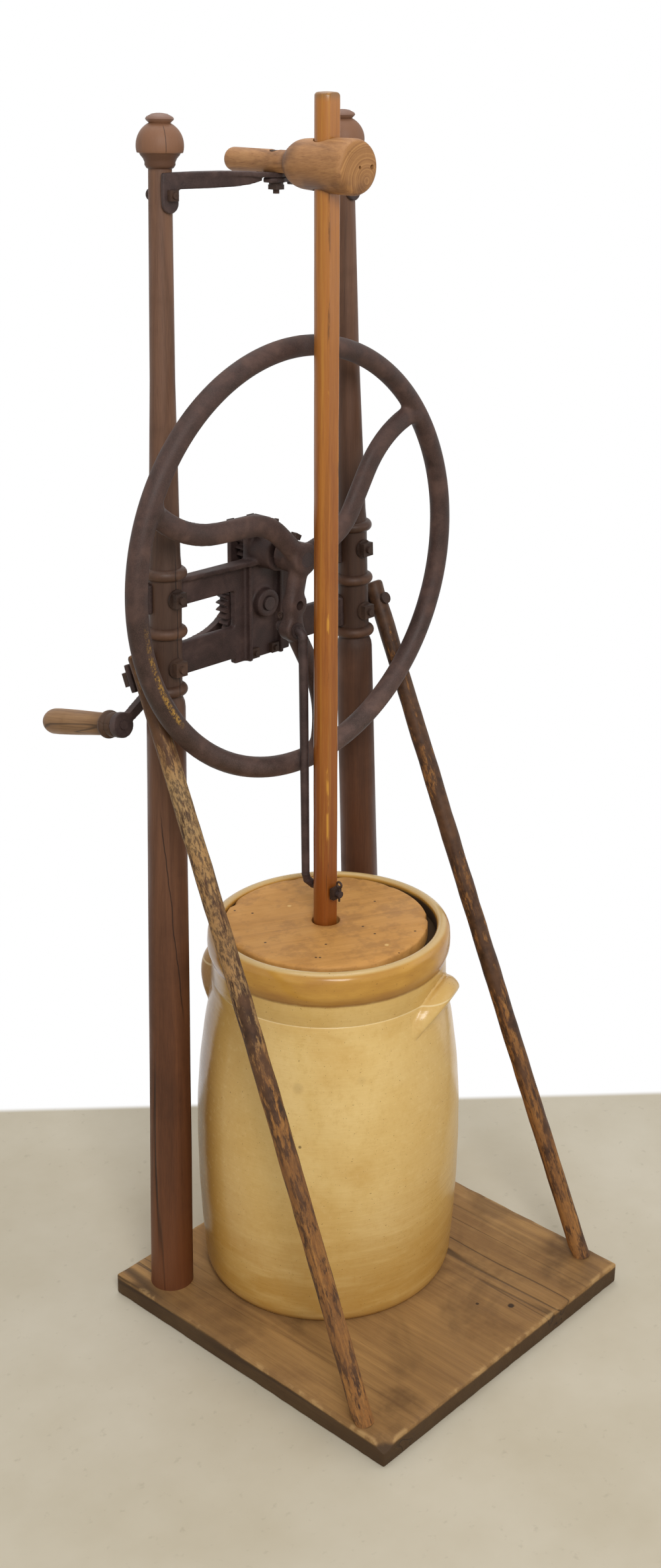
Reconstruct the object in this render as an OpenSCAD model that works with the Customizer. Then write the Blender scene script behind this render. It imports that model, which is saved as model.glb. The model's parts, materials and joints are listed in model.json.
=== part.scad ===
// Floor butter churn: a geared hand crank and a flywheel drive a long dasher
// up and down in a stoneware crock that stands on a wooden floor board.
// Origin: centre of the board's underside. +X is right as seen from the front,
// -Y is the front (crock side), +Y the rear (crank side), +Z is up.

/* [Board] */
// Width of the floor board, left to right
board_w = 475; // [460:1:540]
// Depth of the floor board, front to back
board_d = 488; // [470:1:560]
// Thickness of the floor board
board_t = 28; // [24:1:40]

/* [Posts] */
// Distance of a post's foot from the middle, sideways
post_foot_x = 192; // [188:1:200]
// Distance of a post's foot behind the middle
post_foot_y = 182; // [178:1:186]
// How far a post leans inwards from foot to top
post_dx = 36; // [20:1:40]
// How far a post leans to the rear from foot to top
post_dy = 24; // [16:1:30]
// Height of a post above the board, to the top of its finial
post_h = 1537; // [1500:1:1600]
// Radius of a post at its foot
post_foot_r = 28; // [26:0.5:30]
// Radius of a post just below its lowest bead
post_mid_r = 24.5; // [23:0.5:26]
// Radius of a post between its beads, where the iron frame sits
post_waist_r = 20.5; // [19:0.5:22]
// Radius of a post below its finial
post_top_r = 14.2; // [13:0.1:16]
// Radius of the tenon under a post
post_tenon_r = 14; // [10:0.5:18]
// Radius to the outside of a turned bead
bead_r = 27.8; // [26:0.1:29]
// Half the height of a turned bead
bead_half = 7.5; // [6:0.5:8]
// Depth of the lowest bead's middle below the braces' top ends
bead_down = 55; // [52:1:59]
// Distance from bead to bead
bead_pitch = 75; // [74:0.5:76]
// Radius of the ball finial
ball_r = 28.4; // [26:0.1:32]
// Height of the ball finial, from its sharp lower edge to the cap
ball_h = 34; // [31:1:38]
// Radius of the cap on the ball
cap_r = 17; // [14:0.5:20]
// Height of the cap on the ball
cap_h = 12; // [10:1:14]

/* [Braces] */
// Distance of a brace's foot from the middle, sideways
brace_foot_x = 220.5; // [216:0.5:224]
// Distance of a brace's foot in front of the middle
brace_foot_y = 195; // [185:1:205]
// Distance of a brace's top end from the middle, sideways
brace_top_x = 224; // [222:1:228]
// Distance of a brace's top end behind the middle
brace_top_y = 207; // [205:1:209]
// Height of a brace's top end above the board
brace_top_h = 885; // [882:1:890]
// How much nearer to its post the left brace's top end is
left_brace_in = 8; // [0:1:10]
// How much further forward the left brace's top end is
left_brace_fore = 9; // [0:1:10]
// Radius of a brace
brace_r = 12.3; // [11:0.1:13]
// Radius of the tenon at a brace's foot
brace_tenon_r = 8; // [6:0.5:9]
// Depth of the brace's tenon in the board
brace_tenon_l = 18; // [12:1:20]
// Distance of the brace bolt from the brace's top end
brace_bolt_in = 27; // [22:1:32]

/* [Gear frame] */
// Distance of the frame's front face behind the middle
frame_y = 198; // [197:0.5:200]
// Thickness of the frame's rails and web
frame_t = 10; // [8:0.5:11]
// Height of the upper rail's middle above the braces' top ends
upper_rail_up = 64; // [62:0.5:66]
// Height of the upper rail, edge to edge
rail_up_h = 38; // [30:1:40]
// Depth of the lower rail's middle below the braces' top ends
lower_rail_down = 24.5; // [23:0.5:26]
// Height of the lower rail, edge to edge
rail_low_h = 43; // [36:1:44]
// Radius of the half sleeves that hold the posts
saddle_r = 27; // [25:0.5:29]
// Half the width of the frame's web
web_half = 50; // [46:1:54]
// Depth of the upper rail's flange beside the shaft boss
flange_d = 14; // [8:1:16]
// Radius of the flywheel shaft's boss
boss_r = 24; // [20:0.5:26]
// Length of the flywheel shaft's boss in front of the web
boss_l = 34; // [28:1:35]
// Radius of the crank shaft's boss
low_boss_r = 19; // [16:0.5:20]
// Length of the crank shaft's boss in front of the web
low_boss_l = 12; // [8:1:16]
// Diameter of the bolts through the posts
frame_bolt_d = 9.5; // [8:0.5:11]
// Width of a square nut across its flats
nut_w = 18; // [16:0.5:20]
// Thickness of a square nut
nut_t = 8; // [6:0.5:9]
// Thickness of a washer
washer_t = 2.5; // [1.5:0.5:3]

/* [Gears and shafts] */
// Gear module: pitch diameter over number of teeth
gear_m = 3; // [2.9:0.05:3.1]
// Teeth on the gear that the crank turns
gear_n = 36; // [34:1:36]
// Teeth on the pinion on the flywheel's shaft
pinion_n = 12; // [11:1:13]
// Thickness of the gears
gear_t = 16; // [12:1:18]
// Pressure angle of the teeth
tooth_angle = 25; // [22:1:26]
// Play between meshing teeth, on the pitch circle
backlash = 0.8; // [0.5:0.1:1.2]
// Diameter of the flywheel's shaft
shaft_d = 20; // [18:0.5:22]
// Diameter of the crank's shaft
crank_shaft_d = 18; // [16:0.5:20]
// Thickness of the bearing bridge behind the gears
bridge_t = 8; // [6:0.5:10]
// Half the width of the bearing bridge
bridge_half = 26; // [24:1:28]
// Gap between a gear and the iron beside it
gear_gap = 3; // [2:0.5:4]

/* [Flywheel] */
// Distance of the flywheel's middle plane behind the middle
wheel_y = 128; // [127:0.5:129]
// Height of the flywheel's axis above the braces' top ends
wheel_up = 93; // [91:0.5:95]
// Radius of the rim's centre line
wheel_r = 274; // [260:1:280]
// Radius of the rim's round section
rim_r = 13.75; // [12:0.25:14]
// Radius of a spoke's round section
spoke_r = 11.5; // [10:0.5:12]
// Radius of the hub
hub_r = 21; // [18:0.5:24]
// Length of the hub
hub_l = 43; // [36:1:44]
// Direction in which the first spoke leaves the hub
spoke_a = 136; // [130:1:142]
// Crank radius of the pitman's hole: half the stroke
crank_r = 92; // [85:1:96]
// Crank radius of the spare hole for a short stroke
short_r = 60; // [52:1:66]
// Direction of both crank holes from the hub
crank_hole_a = 259; // [257:1:262]
// Radius of the boss round the pitman's hole
crank_boss_r = 15; // [13:0.5:16]

/* [Crank] */
// Distance between the crank's shaft and its grip
crank_l = 240; // [220:1:260]
// Direction of the crank as it stands
crank_a = 213; // [205:1:220]
// Width of the crank's arm
crank_w = 19; // [16:1:22]
// Thickness of the crank's arm
crank_t = 10; // [8:0.5:12]
// Radius of the round eyes at both ends of the arm
crank_eye_r = 16.5; // [14:0.5:18]
// How far the arm bows out of the straight line
crank_bow = 14; // [8:1:18]
// Diameter of the grip's iron spindle
spindle_d = 9; // [8:0.5:11]
// Downward tilt of the grip
grip_tilt = 12; // [0:1:14]
// Length of the wooden grip
grip_l = 148; // [120:1:155]
// Radius of the grip at its thickest
grip_r = 17; // [15:0.5:19]
// Radius of the grip at its neck
grip_neck_r = 14.3; // [12:0.1:15]
// Radius of the bead at the grip's inner end
grip_bead_r = 18.3; // [16:0.1:19]

/* [Pitman] */
// Radius of the pitman's iron rod
pitman_r = 6.2; // [5.5:0.1:6.5]
// Radius of the bend at the pitman's upper end
pitman_bend = 9; // [7:0.5:9]
// Height of the pin through the dasher above the lid
pin_up = 44; // [40:1:52]
// How far the pitman's foot is set to the left of the dasher
pitman_foot_x = 13; // [8:1:15]
// Diameter of the pin through the dasher
pin_d = 9; // [7:0.5:10]

/* [Dasher and guide] */
// Distance of the dasher's axis behind the middle
dasher_y = 83; // [82:0.5:83.5]
// Radius of the dasher
dasher_r = 15.5; // [14:0.5:15.5]
// Height of the dasher's top above the guide's axis
dasher_over = 87; // [56:1:116]
// Depth of the guide's axis below the posts' top ends
guide_down = 61; // [59:1:63]
// Radius of the guide's drum
guide_r = 34; // [32:0.5:36]
// Radius of the drum at its rear shoulder
guide_rear_r = 30.5; // [28:0.5:34]
// Distance of the drum's front face behind the middle
guide_front = 29; // [24:1:36]
// Length of the drum
guide_l = 110; // [104:1:120]
// Radius of the guide's tail
tail_r = 15; // [14:0.5:17]
// Distance of the tail's end behind the middle
tail_end = 251; // [240:1:258]
// Gap round the dasher in the guide
guide_gap = 1.6; // [0.8:0.1:2.5]
// Distance of the guide's bolt behind the middle
guide_bolt_y = 170; // [168:1:172]
// Height of an arm's upright leg
arm_h = 20; // [16:1:22]
// Thickness of an arm
arm_t = 5; // [4:0.5:5]
// Width of an arm's flange and pad
arm_pad_w = 25; // [22:1:27]
// Diameter of the bolts that hold the arms
arm_bolt_d = 8; // [6:0.5:9]

/* [Crock and lid] */
// Crock's axis to the right of the middle
crock_x = 0.5; // [0:0.5:3]
// Crock's axis behind the middle
crock_y = 76; // [76:0.5:81]
// Height of the crock
crock_h = 492; // [484:1:495]
// Radius of the crock's foot
crock_foot_r = 166; // [156:1:168]
// Radius of the crock's belly
crock_belly_r = 177; // [170:1:178]
// Radius of the crock's neck, below its rim
crock_neck_r = 156; // [154:0.5:157]
// Radius of the crock's rim
crock_rim_r = 161; // [159:0.5:163]
// Height of the band below the crock's rim
crock_band_h = 35; // [30:1:40]
// Thickness of the crock's wall
crock_wall = 12; // [10:0.5:14]
// Thickness of the crock's floor
crock_floor = 14; // [12:0.5:16]
// Radius of the crock's mouth, where the lid drops in
mouth_r = 143; // [142:0.5:145]
// Depth of the ledge that carries the lid, below the rim
ledge_depth = 22; // [21:0.5:24]
// Radius of the lid
lid_r = 135.5; // [134:0.5:136]
// Thickness of the lid
lid_t = 20; // [16:0.5:20]
// Radius of the lid's hole
lid_hole_r = 18.5; // [17.5:0.25:20]
// Direction of the crock's front ear handle from its axis
ear_a = -69; // [-75:1:-60]
// Radius of an ear handle's curve
ear_r = 66; // [60:1:70]
// How far an ear handle stands out from the crock
ear_out = 20; // [15:1:24]
// Upward tilt of an ear handle
ear_tilt = 52; // [44:1:58]
// Height of an ear handle's roots above the board
ear_h = 409; // [400:1:414]

/* [Dasher foot] */
// Height of the foot's underside above the floor at the lowest stroke
foot_z = 62; // [58:1:70]
// Length of a slat of the foot
slat_l = 226; // [200:1:240]
// Width of a slat of the foot
slat_w = 46; // [42:1:50]
// Thickness of a slat of the foot
slat_t = 16; // [12:1:18]
// Radius of the holes in the slats
slat_hole_r = 9; // [6:0.5:10]

/* [Fits] */
// Radial play of a turning shaft in its bearing
run_gap = 0.08; // [0.05:0.01:0.1]
// Radial play of a fixed shaft, bolt or tenon in its bore
fit_gap = 0.15; // [0.1:0.05:0.3]
// Gap between two parts that pass each other
side_gap = 0.3; // [0.25:0.05:0.5]

/* [Hidden] */
$fn = 64;
// Overshoot of a cut past the face that it opens
over = 1;
far = 2000;

// Colours of the real finishes
walnut = "#5a4034";
weathered = "#8f6b4f";
iron = "#4a3b38";
rusty = "#5b4540";
varnish = "#a9642f";
pine = "#b98a52";
buff = "#d8c08c";

// Posts and braces
drive_z = board_t + brace_top_h;
wheel_z = drive_z + wheel_up;
rail_up_z = drive_z + upper_rail_up;
rail_low_z = drive_z - lower_rail_down;
bead_low = brace_top_h - bead_down;
post_l = norm([post_dx, post_dy, post_h]);
post_tenon_l = board_t - 4;
bead_high = bead_low + 2 * bead_pitch;
cove_h = 13;
neck_h = 5;
neck_r = post_top_r + 4.2;
cap_s = post_h - cap_h;
ball_s = cap_s - ball_h;
neck_s = ball_s - cove_h - neck_h;
foot_overlap = 20;
taper_from = bead_high + 240;
taper_more = 1.2;

// Distances on a post for a height above the floor
function post_x(z) = post_foot_x - post_dx * (z - board_t) / post_h;
function post_y(z) = post_foot_y + post_dy * (z - board_t) / post_h;
function post_s(z) = (z - board_t) * post_l / post_h;

// Radius of a post between its last taper and its neck, at a height above the floor
function post_upper_r(z) = post_top_r + taper_more * (neck_s - post_s(z)) / (neck_s - taper_from);

// A brace's run from its foot to its top end, on the side given, and its length
function brace_x(side) = brace_top_x - (side < 0 ? left_brace_in : 0);
function brace_run(side) = [side * (brace_x(side) - brace_foot_x),
    brace_top_y - (side < 0 ? left_brace_fore : 0) + brace_foot_y, brace_top_h];
function brace_l(side) = norm(brace_run(side));

// Gears and shafts
pinion_r = gear_m * pinion_n / 2;
gear_r = gear_m * gear_n / 2;
gear_z = wheel_z - pinion_r - gear_r;
web_rear = frame_y + frame_t;
gear_y = web_rear + gear_gap;
bridge_y = gear_y + gear_t + gear_gap;
bridge_rear = bridge_y + bridge_t;
leg_h = 12;
leg_top_z = wheel_z + pinion_r + gear_m + gear_gap;
leg_low_z = gear_z - gear_r - gear_m - gear_gap - leg_h;
bridge_bolt_x = bridge_half - 8;
bridge_bolt_d = 7;
small_nut_w = 13;
small_nut_t = 6;
key_w = 4;
bolt_end = 4;

// Flywheel, pitman and dasher
hub_front = wheel_y - 12.5;
spoke_1 = 52.7;
spoke_turn_1 = 42.5;
spoke_bend_1 = 75;
spoke_2 = 55;
spoke_turn_2 = 38.5;
spoke_bend_2 = 150;
spoke_end_r = 252;
pin_x = crank_r * cos(crank_hole_a);
crank_pin_z = wheel_z + crank_r * sin(crank_hole_a);
crank_boss_t = 20;
pin_z = board_t + crock_h - ledge_depth + lid_t + pin_up;
dasher_rear = dasher_y + dasher_r;
dasher_front = dasher_y - dasher_r;
leg_y = (dasher_rear + wheel_y - rim_r) / 2;
collar_t = wheel_y - crank_boss_t / 2 - leg_y - pitman_bend - side_gap;
pin_stub = 0.5;
foot_rise = 19;
pitman_foot_r = pitman_r - 0.9;
// How much fuller a thin rod is where it bends
joint_r = 0.25;
pitman_end_y = dasher_rear + pin_stub + side_gap;
pin_rear = wheel_y + crank_boss_t / 2 + 12;

// Crank
crank_front = bridge_rear + gear_gap;
crank_hub_t = crank_t + 5;
crank_mid = crank_front + crank_hub_t / 2;
crank_rear = crank_front + crank_hub_t;
crank_end = [crank_l * cos(crank_a), crank_mid, gear_z + crank_l * sin(crank_a)];
crank_bow_l = 95;
grip_from = crank_t / 2 + 2;
grip_blind = 14;
grip_round = 22;

// Guide arms
guide_z = board_t + post_h - guide_down;
dasher_top = guide_z + dasher_over;
arm_drop = 8;
arm_top = guide_z - arm_drop;
arm_bolt_drop = 35;
arm_bolt_z = guide_z - arm_bolt_drop;
pad_drop = 9;
pad_low = arm_bolt_z - pad_drop;
arm_seat_r = post_upper_r(pad_low - pad_drop);
arm_flange = 12;
tail_low = guide_z - tail_r;
arm_gap = 0.15;
bolt_head_h = 5;

// Crock
belly_s = 207;
shoulder_s = 405;
band_s = crock_h - crock_band_h - 8;
ledge_s = crock_h - ledge_depth;
ledge_r = lid_r - 8;
lid_x = 0.8;
lid_y = dasher_y - 0.4;
ear_in = ear_r - ear_out;
ear_edge = [6.5, 9];
ear_web = 6.5;
crock_steps = 9;

// Places things along a post: its axis becomes Z, from the board up
module on_post(side)
    translate([side * post_foot_x, post_foot_y, board_t])
        rotate([-asin(post_dy / post_l), atan2(-side * post_dx, post_h), 0]) children();

// Places things along a brace: its axis becomes Z, and -Y is its upper side
module on_brace(side)
    translate([side * brace_foot_x, -brace_foot_y, board_t])
        rotate([-asin(brace_run(side).y / brace_l(side)), atan2(brace_run(side).x, brace_top_h), 0]) children();

// A bar with its axis along +Y, from the point given
module along_y(r, l, at)
    translate(at) rotate([-90, 0, 0]) cylinder(r = r, h = l);

// A square nut or bolt head with its axis along +Y, from the point given
module square_y(w, t, at)
    translate([at.x - w / 2, at.y, at.z - w / 2]) cube([w, t, w]);

// Everything below the top of the board
module below_board()
    translate([-far / 2, -far / 2, board_t - far]) cube(far);

// A straight rod between two points, with an end radius each
module rod(a, b, r1, r2) {
    d = b - a;
    l = norm(d);
    translate(a) rotate([0, acos(d.z / l), atan2(d.y, d.x)]) cylinder(r1 = r1, r2 = r2, h = l);
}

// A round rod through a list of points, with round corners
module bent_rod(points, r) {
    for (i = [0 : len(points) - 2]) rod(points[i], points[i + 1], r, r);
    for (i = [1 : len(points) - 2]) translate(points[i]) sphere(r = r + joint_r);
}

// Post and brace

// Outline of the turned post, without its beads
function post_outline() = concat(
    [[0, -foot_overlap], [post_foot_r, -foot_overlap], [post_mid_r, bead_low - 24],
     [post_mid_r - 0.6, bead_low - 18], [post_waist_r, bead_low - bead_half],
     [post_waist_r, bead_high], [post_waist_r - 0.6, bead_high + 22],
     [(post_waist_r + post_top_r) / 2, bead_high + 136],
     [post_top_r + taper_more, taper_from], [post_top_r, neck_s],
     [post_top_r + 2, neck_s], [neck_r, neck_s + neck_h * 0.7], [neck_r, neck_s + neck_h + 3],
     [neck_r + 2, neck_s + neck_h + 6.5], [ball_r - 3.4, ball_s - 3], [ball_r - 2.4, ball_s]],
    [for (a = [-15 : 7 : 62]) [ball_r * cos(a), ball_s + ball_h * (sin(a) + sin(15)) / (sin(62) + sin(15))]],
    [[cap_r - 4.5, cap_s], [cap_r, cap_s + cap_h * 0.42], [cap_r - 1.5, cap_s + cap_h * 0.62],
     [cap_r * 0.55, cap_s + cap_h * 0.9], [0, post_h]]);

// One turned post, with its beads, ball finial and tenon
module post(side) color(walnut) difference() {
    union() {
        difference() {
            on_post(side) {
                rotate_extrude() polygon(post_outline());
                for (i = [0 : 2])
                    translate([0, 0, bead_low + i * bead_pitch])
                        rotate_extrude() translate([bead_r - bead_half, 0]) circle(r = bead_half, $fn = 32);
            }
            below_board();
        }
        on_post(side) translate([0, 0, -post_tenon_l]) cylinder(r = post_tenon_r, h = post_tenon_l + over);
    }
    for (z = [rail_low_z, rail_up_z])
        on_post(side) along_y(frame_bolt_d / 2 + fit_gap, 2 * bead_r, [0, -bead_r, post_s(z)]);
    on_post(side) along_y(arm_bolt_d / 2 + fit_gap, 2 * post_foot_r, [0, -post_foot_r, post_s(arm_bolt_z)]);
}

module left_post() post(-1);
module right_post() post(1);

// One round brace from a post's outer side to the board's front corner
module brace(side) color(rusty) difference() {
    union() {
        difference() {
            on_brace(side) translate([0, 0, -foot_overlap]) {
                cylinder(r = brace_r, h = brace_l(side) + foot_overlap - 3);
                translate([0, 0, brace_l(side) + foot_overlap - 3])
                    cylinder(r1 = brace_r, r2 = brace_r - 2.5, h = 3);
            }
            below_board();
        }
        on_brace(side) translate([0, 0, -brace_tenon_l])
            cylinder(r = brace_tenon_r, h = brace_tenon_l + 2 * brace_r);
    }
    on_brace(side)
        along_y(frame_bolt_d / 2 + fit_gap, 4 * brace_r, [0, -2 * brace_r, brace_l(side) - brace_bolt_in]);
}

module left_brace() brace(-1);
module right_brace() brace(1);

// The floor board, with sockets for the posts and the braces
module base_board() color(walnut) difference() {
    translate([-board_w / 2, -board_d / 2, 0]) cube([board_w, board_d, board_t]);
    for (side = [-1, 1]) {
        on_post(side) translate([0, 0, -post_tenon_l - side_gap])
            cylinder(r = post_tenon_r + fit_gap, h = 2 * board_t);
        on_brace(side) translate([0, 0, -brace_tenon_l - side_gap])
            cylinder(r = brace_tenon_r + fit_gap, h = 2 * board_t);
    }
}

// Gear frame

// One rail, right across between the posts
module rail(z, h)
    translate([-post_x(z), frame_y, z - h / 2]) cube([2 * post_x(z), frame_t, h]);

// A half sleeve round the rear of a post, at the height of a rail
module saddle(side, z, h) on_post(side) difference() {
    translate([0, 0, post_s(z) - h / 2]) cylinder(r = saddle_r, h = h);
    translate([-far / 2, -far - 2, 0]) cube(far);
}

// The ear behind a brace's top end, out from the lower saddle
module ear(side) on_brace(side) {
    seat = brace_r + side_gap;
    reach = brace_x(side) - post_x(rail_low_z);
    tip = nut_w / 2 + 1;
    translate([side > 0 ? -reach : -tip, seat, brace_l(side) - brace_bolt_in - 18])
        cube([reach + tip, 8, 36]);
}

flange_in = 60;

// The flange along the upper rail's top edge, deeper towards the shaft boss
module flange(side)
    translate([0, 0, rail_up_z + rail_up_h / 2 - 6])
        linear_extrude(6) polygon([[side * 14, frame_y + over], [side * 14, frame_y - flange_d],
            [side * flange_in, frame_y - flange_d * 0.8], [side * (post_x(rail_up_z) - 18), frame_y - 4],
            [side * (post_x(rail_up_z) - 18), frame_y + over]]);

// The iron casting that ties the posts together and carries both shafts
module gear_frame() color(iron) difference() {
    union() {
        rail(rail_up_z, rail_up_h);
        rail(rail_low_z, rail_low_h);
        translate([-web_half, frame_y, leg_low_z - 3])
            cube([2 * web_half, frame_t, rail_up_z + rail_up_h / 2 - leg_low_z + 3]);
        translate([-bridge_half, frame_y, rail_up_z])
            cube([2 * bridge_half, frame_t, leg_top_z + leg_h - rail_up_z]);
        for (side = [-1, 1]) {
            saddle(side, rail_up_z, rail_up_h);
            saddle(side, rail_low_z, rail_low_h - 2);
            ear(side);
            flange(side);
            translate([side * (web_half - 22) - 3, frame_y - 8, leg_low_z - 3])
                cube([6, 8 + over, rail_up_z + rail_up_h / 2 - leg_low_z]);
        }
        along_y(boss_r, boss_l + over, [0, frame_y - boss_l, wheel_z]);
        along_y(low_boss_r, low_boss_l + over, [0, frame_y - low_boss_l, gear_z]);
    }
    for (side = [-1, 1]) {
        on_post(side) translate([0, 0, bead_low - 2 * bead_half])
            cylinder(r = post_waist_r + fit_gap, h = 2 * bead_pitch + 4 * bead_half);
        on_post(side) translate([0, 0, bead_low - 2 * bead_half - over])
            cylinder(r = bead_r + side_gap, h = 3 * bead_half + over + side_gap);
        for (z = [rail_low_z, rail_up_z])
            on_post(side) along_y(frame_bolt_d / 2 + fit_gap, 2 * saddle_r, [0, 0, post_s(z)]);
        on_brace(side) along_y(frame_bolt_d / 2 + fit_gap, 2 * saddle_r, [0, 0, brace_l(side) - brace_bolt_in]);
    }
    along_y(shaft_d / 2 + run_gap, far / 2, [0, frame_y - far / 4, wheel_z]);
    along_y(crank_shaft_d / 2 + run_gap, far / 2, [0, frame_y - far / 4, gear_z]);
    bridge_bolt_bores();
}

// Where the four bolts of the bearing bridge pass
bridge_bolt_places = [for (x = [-1, 1], z = [leg_low_z + leg_h / 2, leg_top_z + leg_h / 2])
    [x * bridge_bolt_x, z]];

module bridge_bolt_bores()
    for (p = bridge_bolt_places)
        along_y(bridge_bolt_d / 2 + fit_gap, far / 2, [p.x, frame_y - far / 4, p.y]);

// The bridge behind the gears, which carries the rear ends of both shafts
module bearing_bridge() color(iron) difference() {
    union() {
        translate([-bridge_half, bridge_y, leg_low_z])
            cube([2 * bridge_half, bridge_t, leg_top_z + leg_h - leg_low_z]);
        for (z = [leg_low_z, leg_top_z])
            translate([-bridge_half, web_rear, z])
                cube([2 * bridge_half, bridge_y - web_rear + over, leg_h]);
    }
    along_y(shaft_d / 2 + run_gap, far / 2, [0, frame_y - far / 4, wheel_z]);
    along_y(crank_shaft_d / 2 + run_gap, far / 2, [0, frame_y - far / 4, gear_z]);
    bridge_bolt_bores();
}

// Square-headed bolts through the posts and the frame's saddles
module frame_bolts() color(rusty)
    for (side = [-1, 1], z = [rail_low_z, rail_up_z]) {
        front = post_waist_r + washer_t + nut_t + bolt_end;
        on_post(side) {
            along_y(frame_bolt_d / 2, front + saddle_r, [0, -front, post_s(z)]);
            square_y(nut_w, bolt_head_h, [0, saddle_r, post_s(z)]);
        }
    }

// Round washers under the frame bolts' nuts, on the front of the posts
module frame_washers() color(rusty)
    for (side = [-1, 1], z = [rail_low_z, rail_up_z])
        on_post(side) difference() {
            along_y(nut_w * 0.72, washer_t, [0, -post_waist_r - washer_t, post_s(z)]);
            along_y(frame_bolt_d / 2 + fit_gap, 3 * washer_t, [0, -post_waist_r - 2 * washer_t, post_s(z)]);
        }

// Square nuts on the front of the posts
module frame_nuts() color(rusty)
    for (side = [-1, 1], z = [rail_low_z, rail_up_z])
        on_post(side) difference() {
            square_y(nut_w, nut_t, [0, -post_waist_r - washer_t - nut_t, post_s(z)]);
            along_y(frame_bolt_d / 2 + fit_gap, 3 * nut_t, [0, -post_waist_r - 2.5 * nut_t, post_s(z)]);
        }

// Four bolts that hold the bearing bridge to the frame
module bridge_bolts() color(rusty)
    for (p = bridge_bolt_places) {
        front = frame_y - small_nut_t - 3;
        along_y(bridge_bolt_d / 2, bridge_rear - front, [p.x, front, p.y]);
        square_y(small_nut_w - 1, 2, [p.x, bridge_rear, p.y]);
    }

// Their square nuts, on the front of the web
module bridge_nuts() color(rusty)
    for (p = bridge_bolt_places) difference() {
        square_y(small_nut_w, small_nut_t, [p.x, frame_y - small_nut_t, p.y]);
        along_y(bridge_bolt_d / 2 + fit_gap, 3 * small_nut_t, [p.x, frame_y - 2 * small_nut_t, p.y]);
    }

// Round-headed bolts through the braces' top ends and the frame's ears
module brace_bolts() color(rusty)
    for (side = [-1, 1]) on_brace(side) {
        s = brace_l(side) - brace_bolt_in;
        along_y(frame_bolt_d / 2, 2 * brace_r + 2 * bolt_head_h + nut_t + bolt_end + 2, [0, -brace_r - 2, s]);
        along_y(nut_w * 0.45, 4, [0, -brace_r - 4, s]);
    }

// Their square nuts, behind the ears
module brace_nuts() color(rusty)
    for (side = [-1, 1]) on_brace(side) difference() {
        s = brace_l(side) - brace_bolt_in;
        square_y(nut_w, nut_t, [0, brace_r + side_gap + 8, s]);
        along_y(frame_bolt_d / 2 + fit_gap, 4 * nut_t, [0, brace_r - nut_t, s]);
    }

// Gears

// Half the angle that a tooth fills at radius r, for a gear of pitch radius rp
function half_tooth(rp, n, r) =
    let (rb = rp * cos(tooth_angle), a = acos(min(1, rb / r)),
         at_pitch = 90 / n - backlash / 4 / rp * 180 / PI)
    at_pitch + (tan(tooth_angle) * 180 / PI - tooth_angle) - (tan(a) * 180 / PI - a);

// Outline of a spur gear with one tooth pointing at angle turn
function gear_outline(n, turn) =
    let (rp = gear_m * n / 2, rb = rp * cos(tooth_angle), root = rp - 1.25 * gear_m,
         tip = rp + gear_m, low = max(rb, root),
         radii = [root, low, low + (tip - low) * 0.35, low + (tip - low) * 0.7, tip],
         halves = [for (r = radii) half_tooth(rp, n, max(r, low))])
    [for (i = [0 : n - 1])
        for (k = [0 : 9])
            let (j = k < 5 ? k : 9 - k, a = turn + i * 360 / n + (k < 5 ? -1 : 1) * halves[j])
            radii[j] * [cos(a), sin(a)]];

// A gear of n teeth on a shaft of diameter d, with a keyway towards the first tooth
module spur_gear(n, turn, d) difference() {
    linear_extrude(gear_t) polygon(gear_outline(n, turn));
    translate([0, 0, -over]) cylinder(r = d / 2 + fit_gap, h = gear_t + 2 * over);
    rotate([0, 0, turn]) keyway(d);
}

// The slot for a key, as far out as the key stands above the shaft
module keyway(d)
    translate([0, -key_w / 2 - fit_gap, -over])
        cube([d / 2 + key_w / 2 + fit_gap, key_w + 2 * fit_gap, gear_t + 2 * over]);

// The key itself
module key(d)
    translate([d / 2 - key_w / 2, -key_w / 2, 0]) cube([key_w, key_w, gear_t]);

// Places things in the plane of the gears: X and Y become X and Z, Z points to the front
module on_gears(z) translate([0, gear_y + gear_t, z]) rotate([90, 0, 0]) children();

gear_turn = 90 + 180 / gear_n;
pinion_turn = -90;

module pinion() color(iron) on_gears(wheel_z) spur_gear(pinion_n, pinion_turn, shaft_d);
module crank_gear() color(iron) on_gears(gear_z) difference() {
    spur_gear(gear_n, gear_turn, crank_shaft_d);
    // The gear's face is sunk between its rim and its hub, on both sides
    for (z = [-over, gear_t - 5]) translate([0, 0, z]) difference() {
        cylinder(r = gear_r - 8, h = 5 + over);
        cylinder(r = crank_shaft_d / 2 + 8, h = 5 + over);
    }
}
module pinion_key() color(iron) on_gears(wheel_z) rotate([0, 0, pinion_turn]) key(shaft_d);
module gear_key() color(iron) on_gears(gear_z) rotate([0, 0, gear_turn]) key(crank_shaft_d);

// A shaft along Y with a key seat where its gear sits
module shaft(d, from, to, z, turn) color(iron) difference() {
    along_y(d / 2, to - from, [0, from, z]);
    on_gears(z) rotate([0, 0, turn])
        translate([d / 2 - key_w / 2 - fit_gap, -key_w / 2 - fit_gap, -fit_gap])
            cube([key_w, key_w + 2 * fit_gap, gear_t + 2 * fit_gap]);
}

module flywheel_shaft() shaft(shaft_d, hub_front, bridge_rear + 1.5, wheel_z, pinion_turn);
module crank_shaft()
    shaft(crank_shaft_d, frame_y - low_boss_l - 2, crank_rear + nut_t + bolt_end, gear_z, gear_turn);

// Flywheel

// Places things in the flywheel's plane: X and Y become X and Z, Z points to the front
module on_wheel() translate([0, wheel_y, wheel_z]) rotate([90, 0, 0]) children();

// How far a bend runs on inside the straights beside it, and how much thinner it is
bend_in = 3;
bend_less = 0.3;

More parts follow.
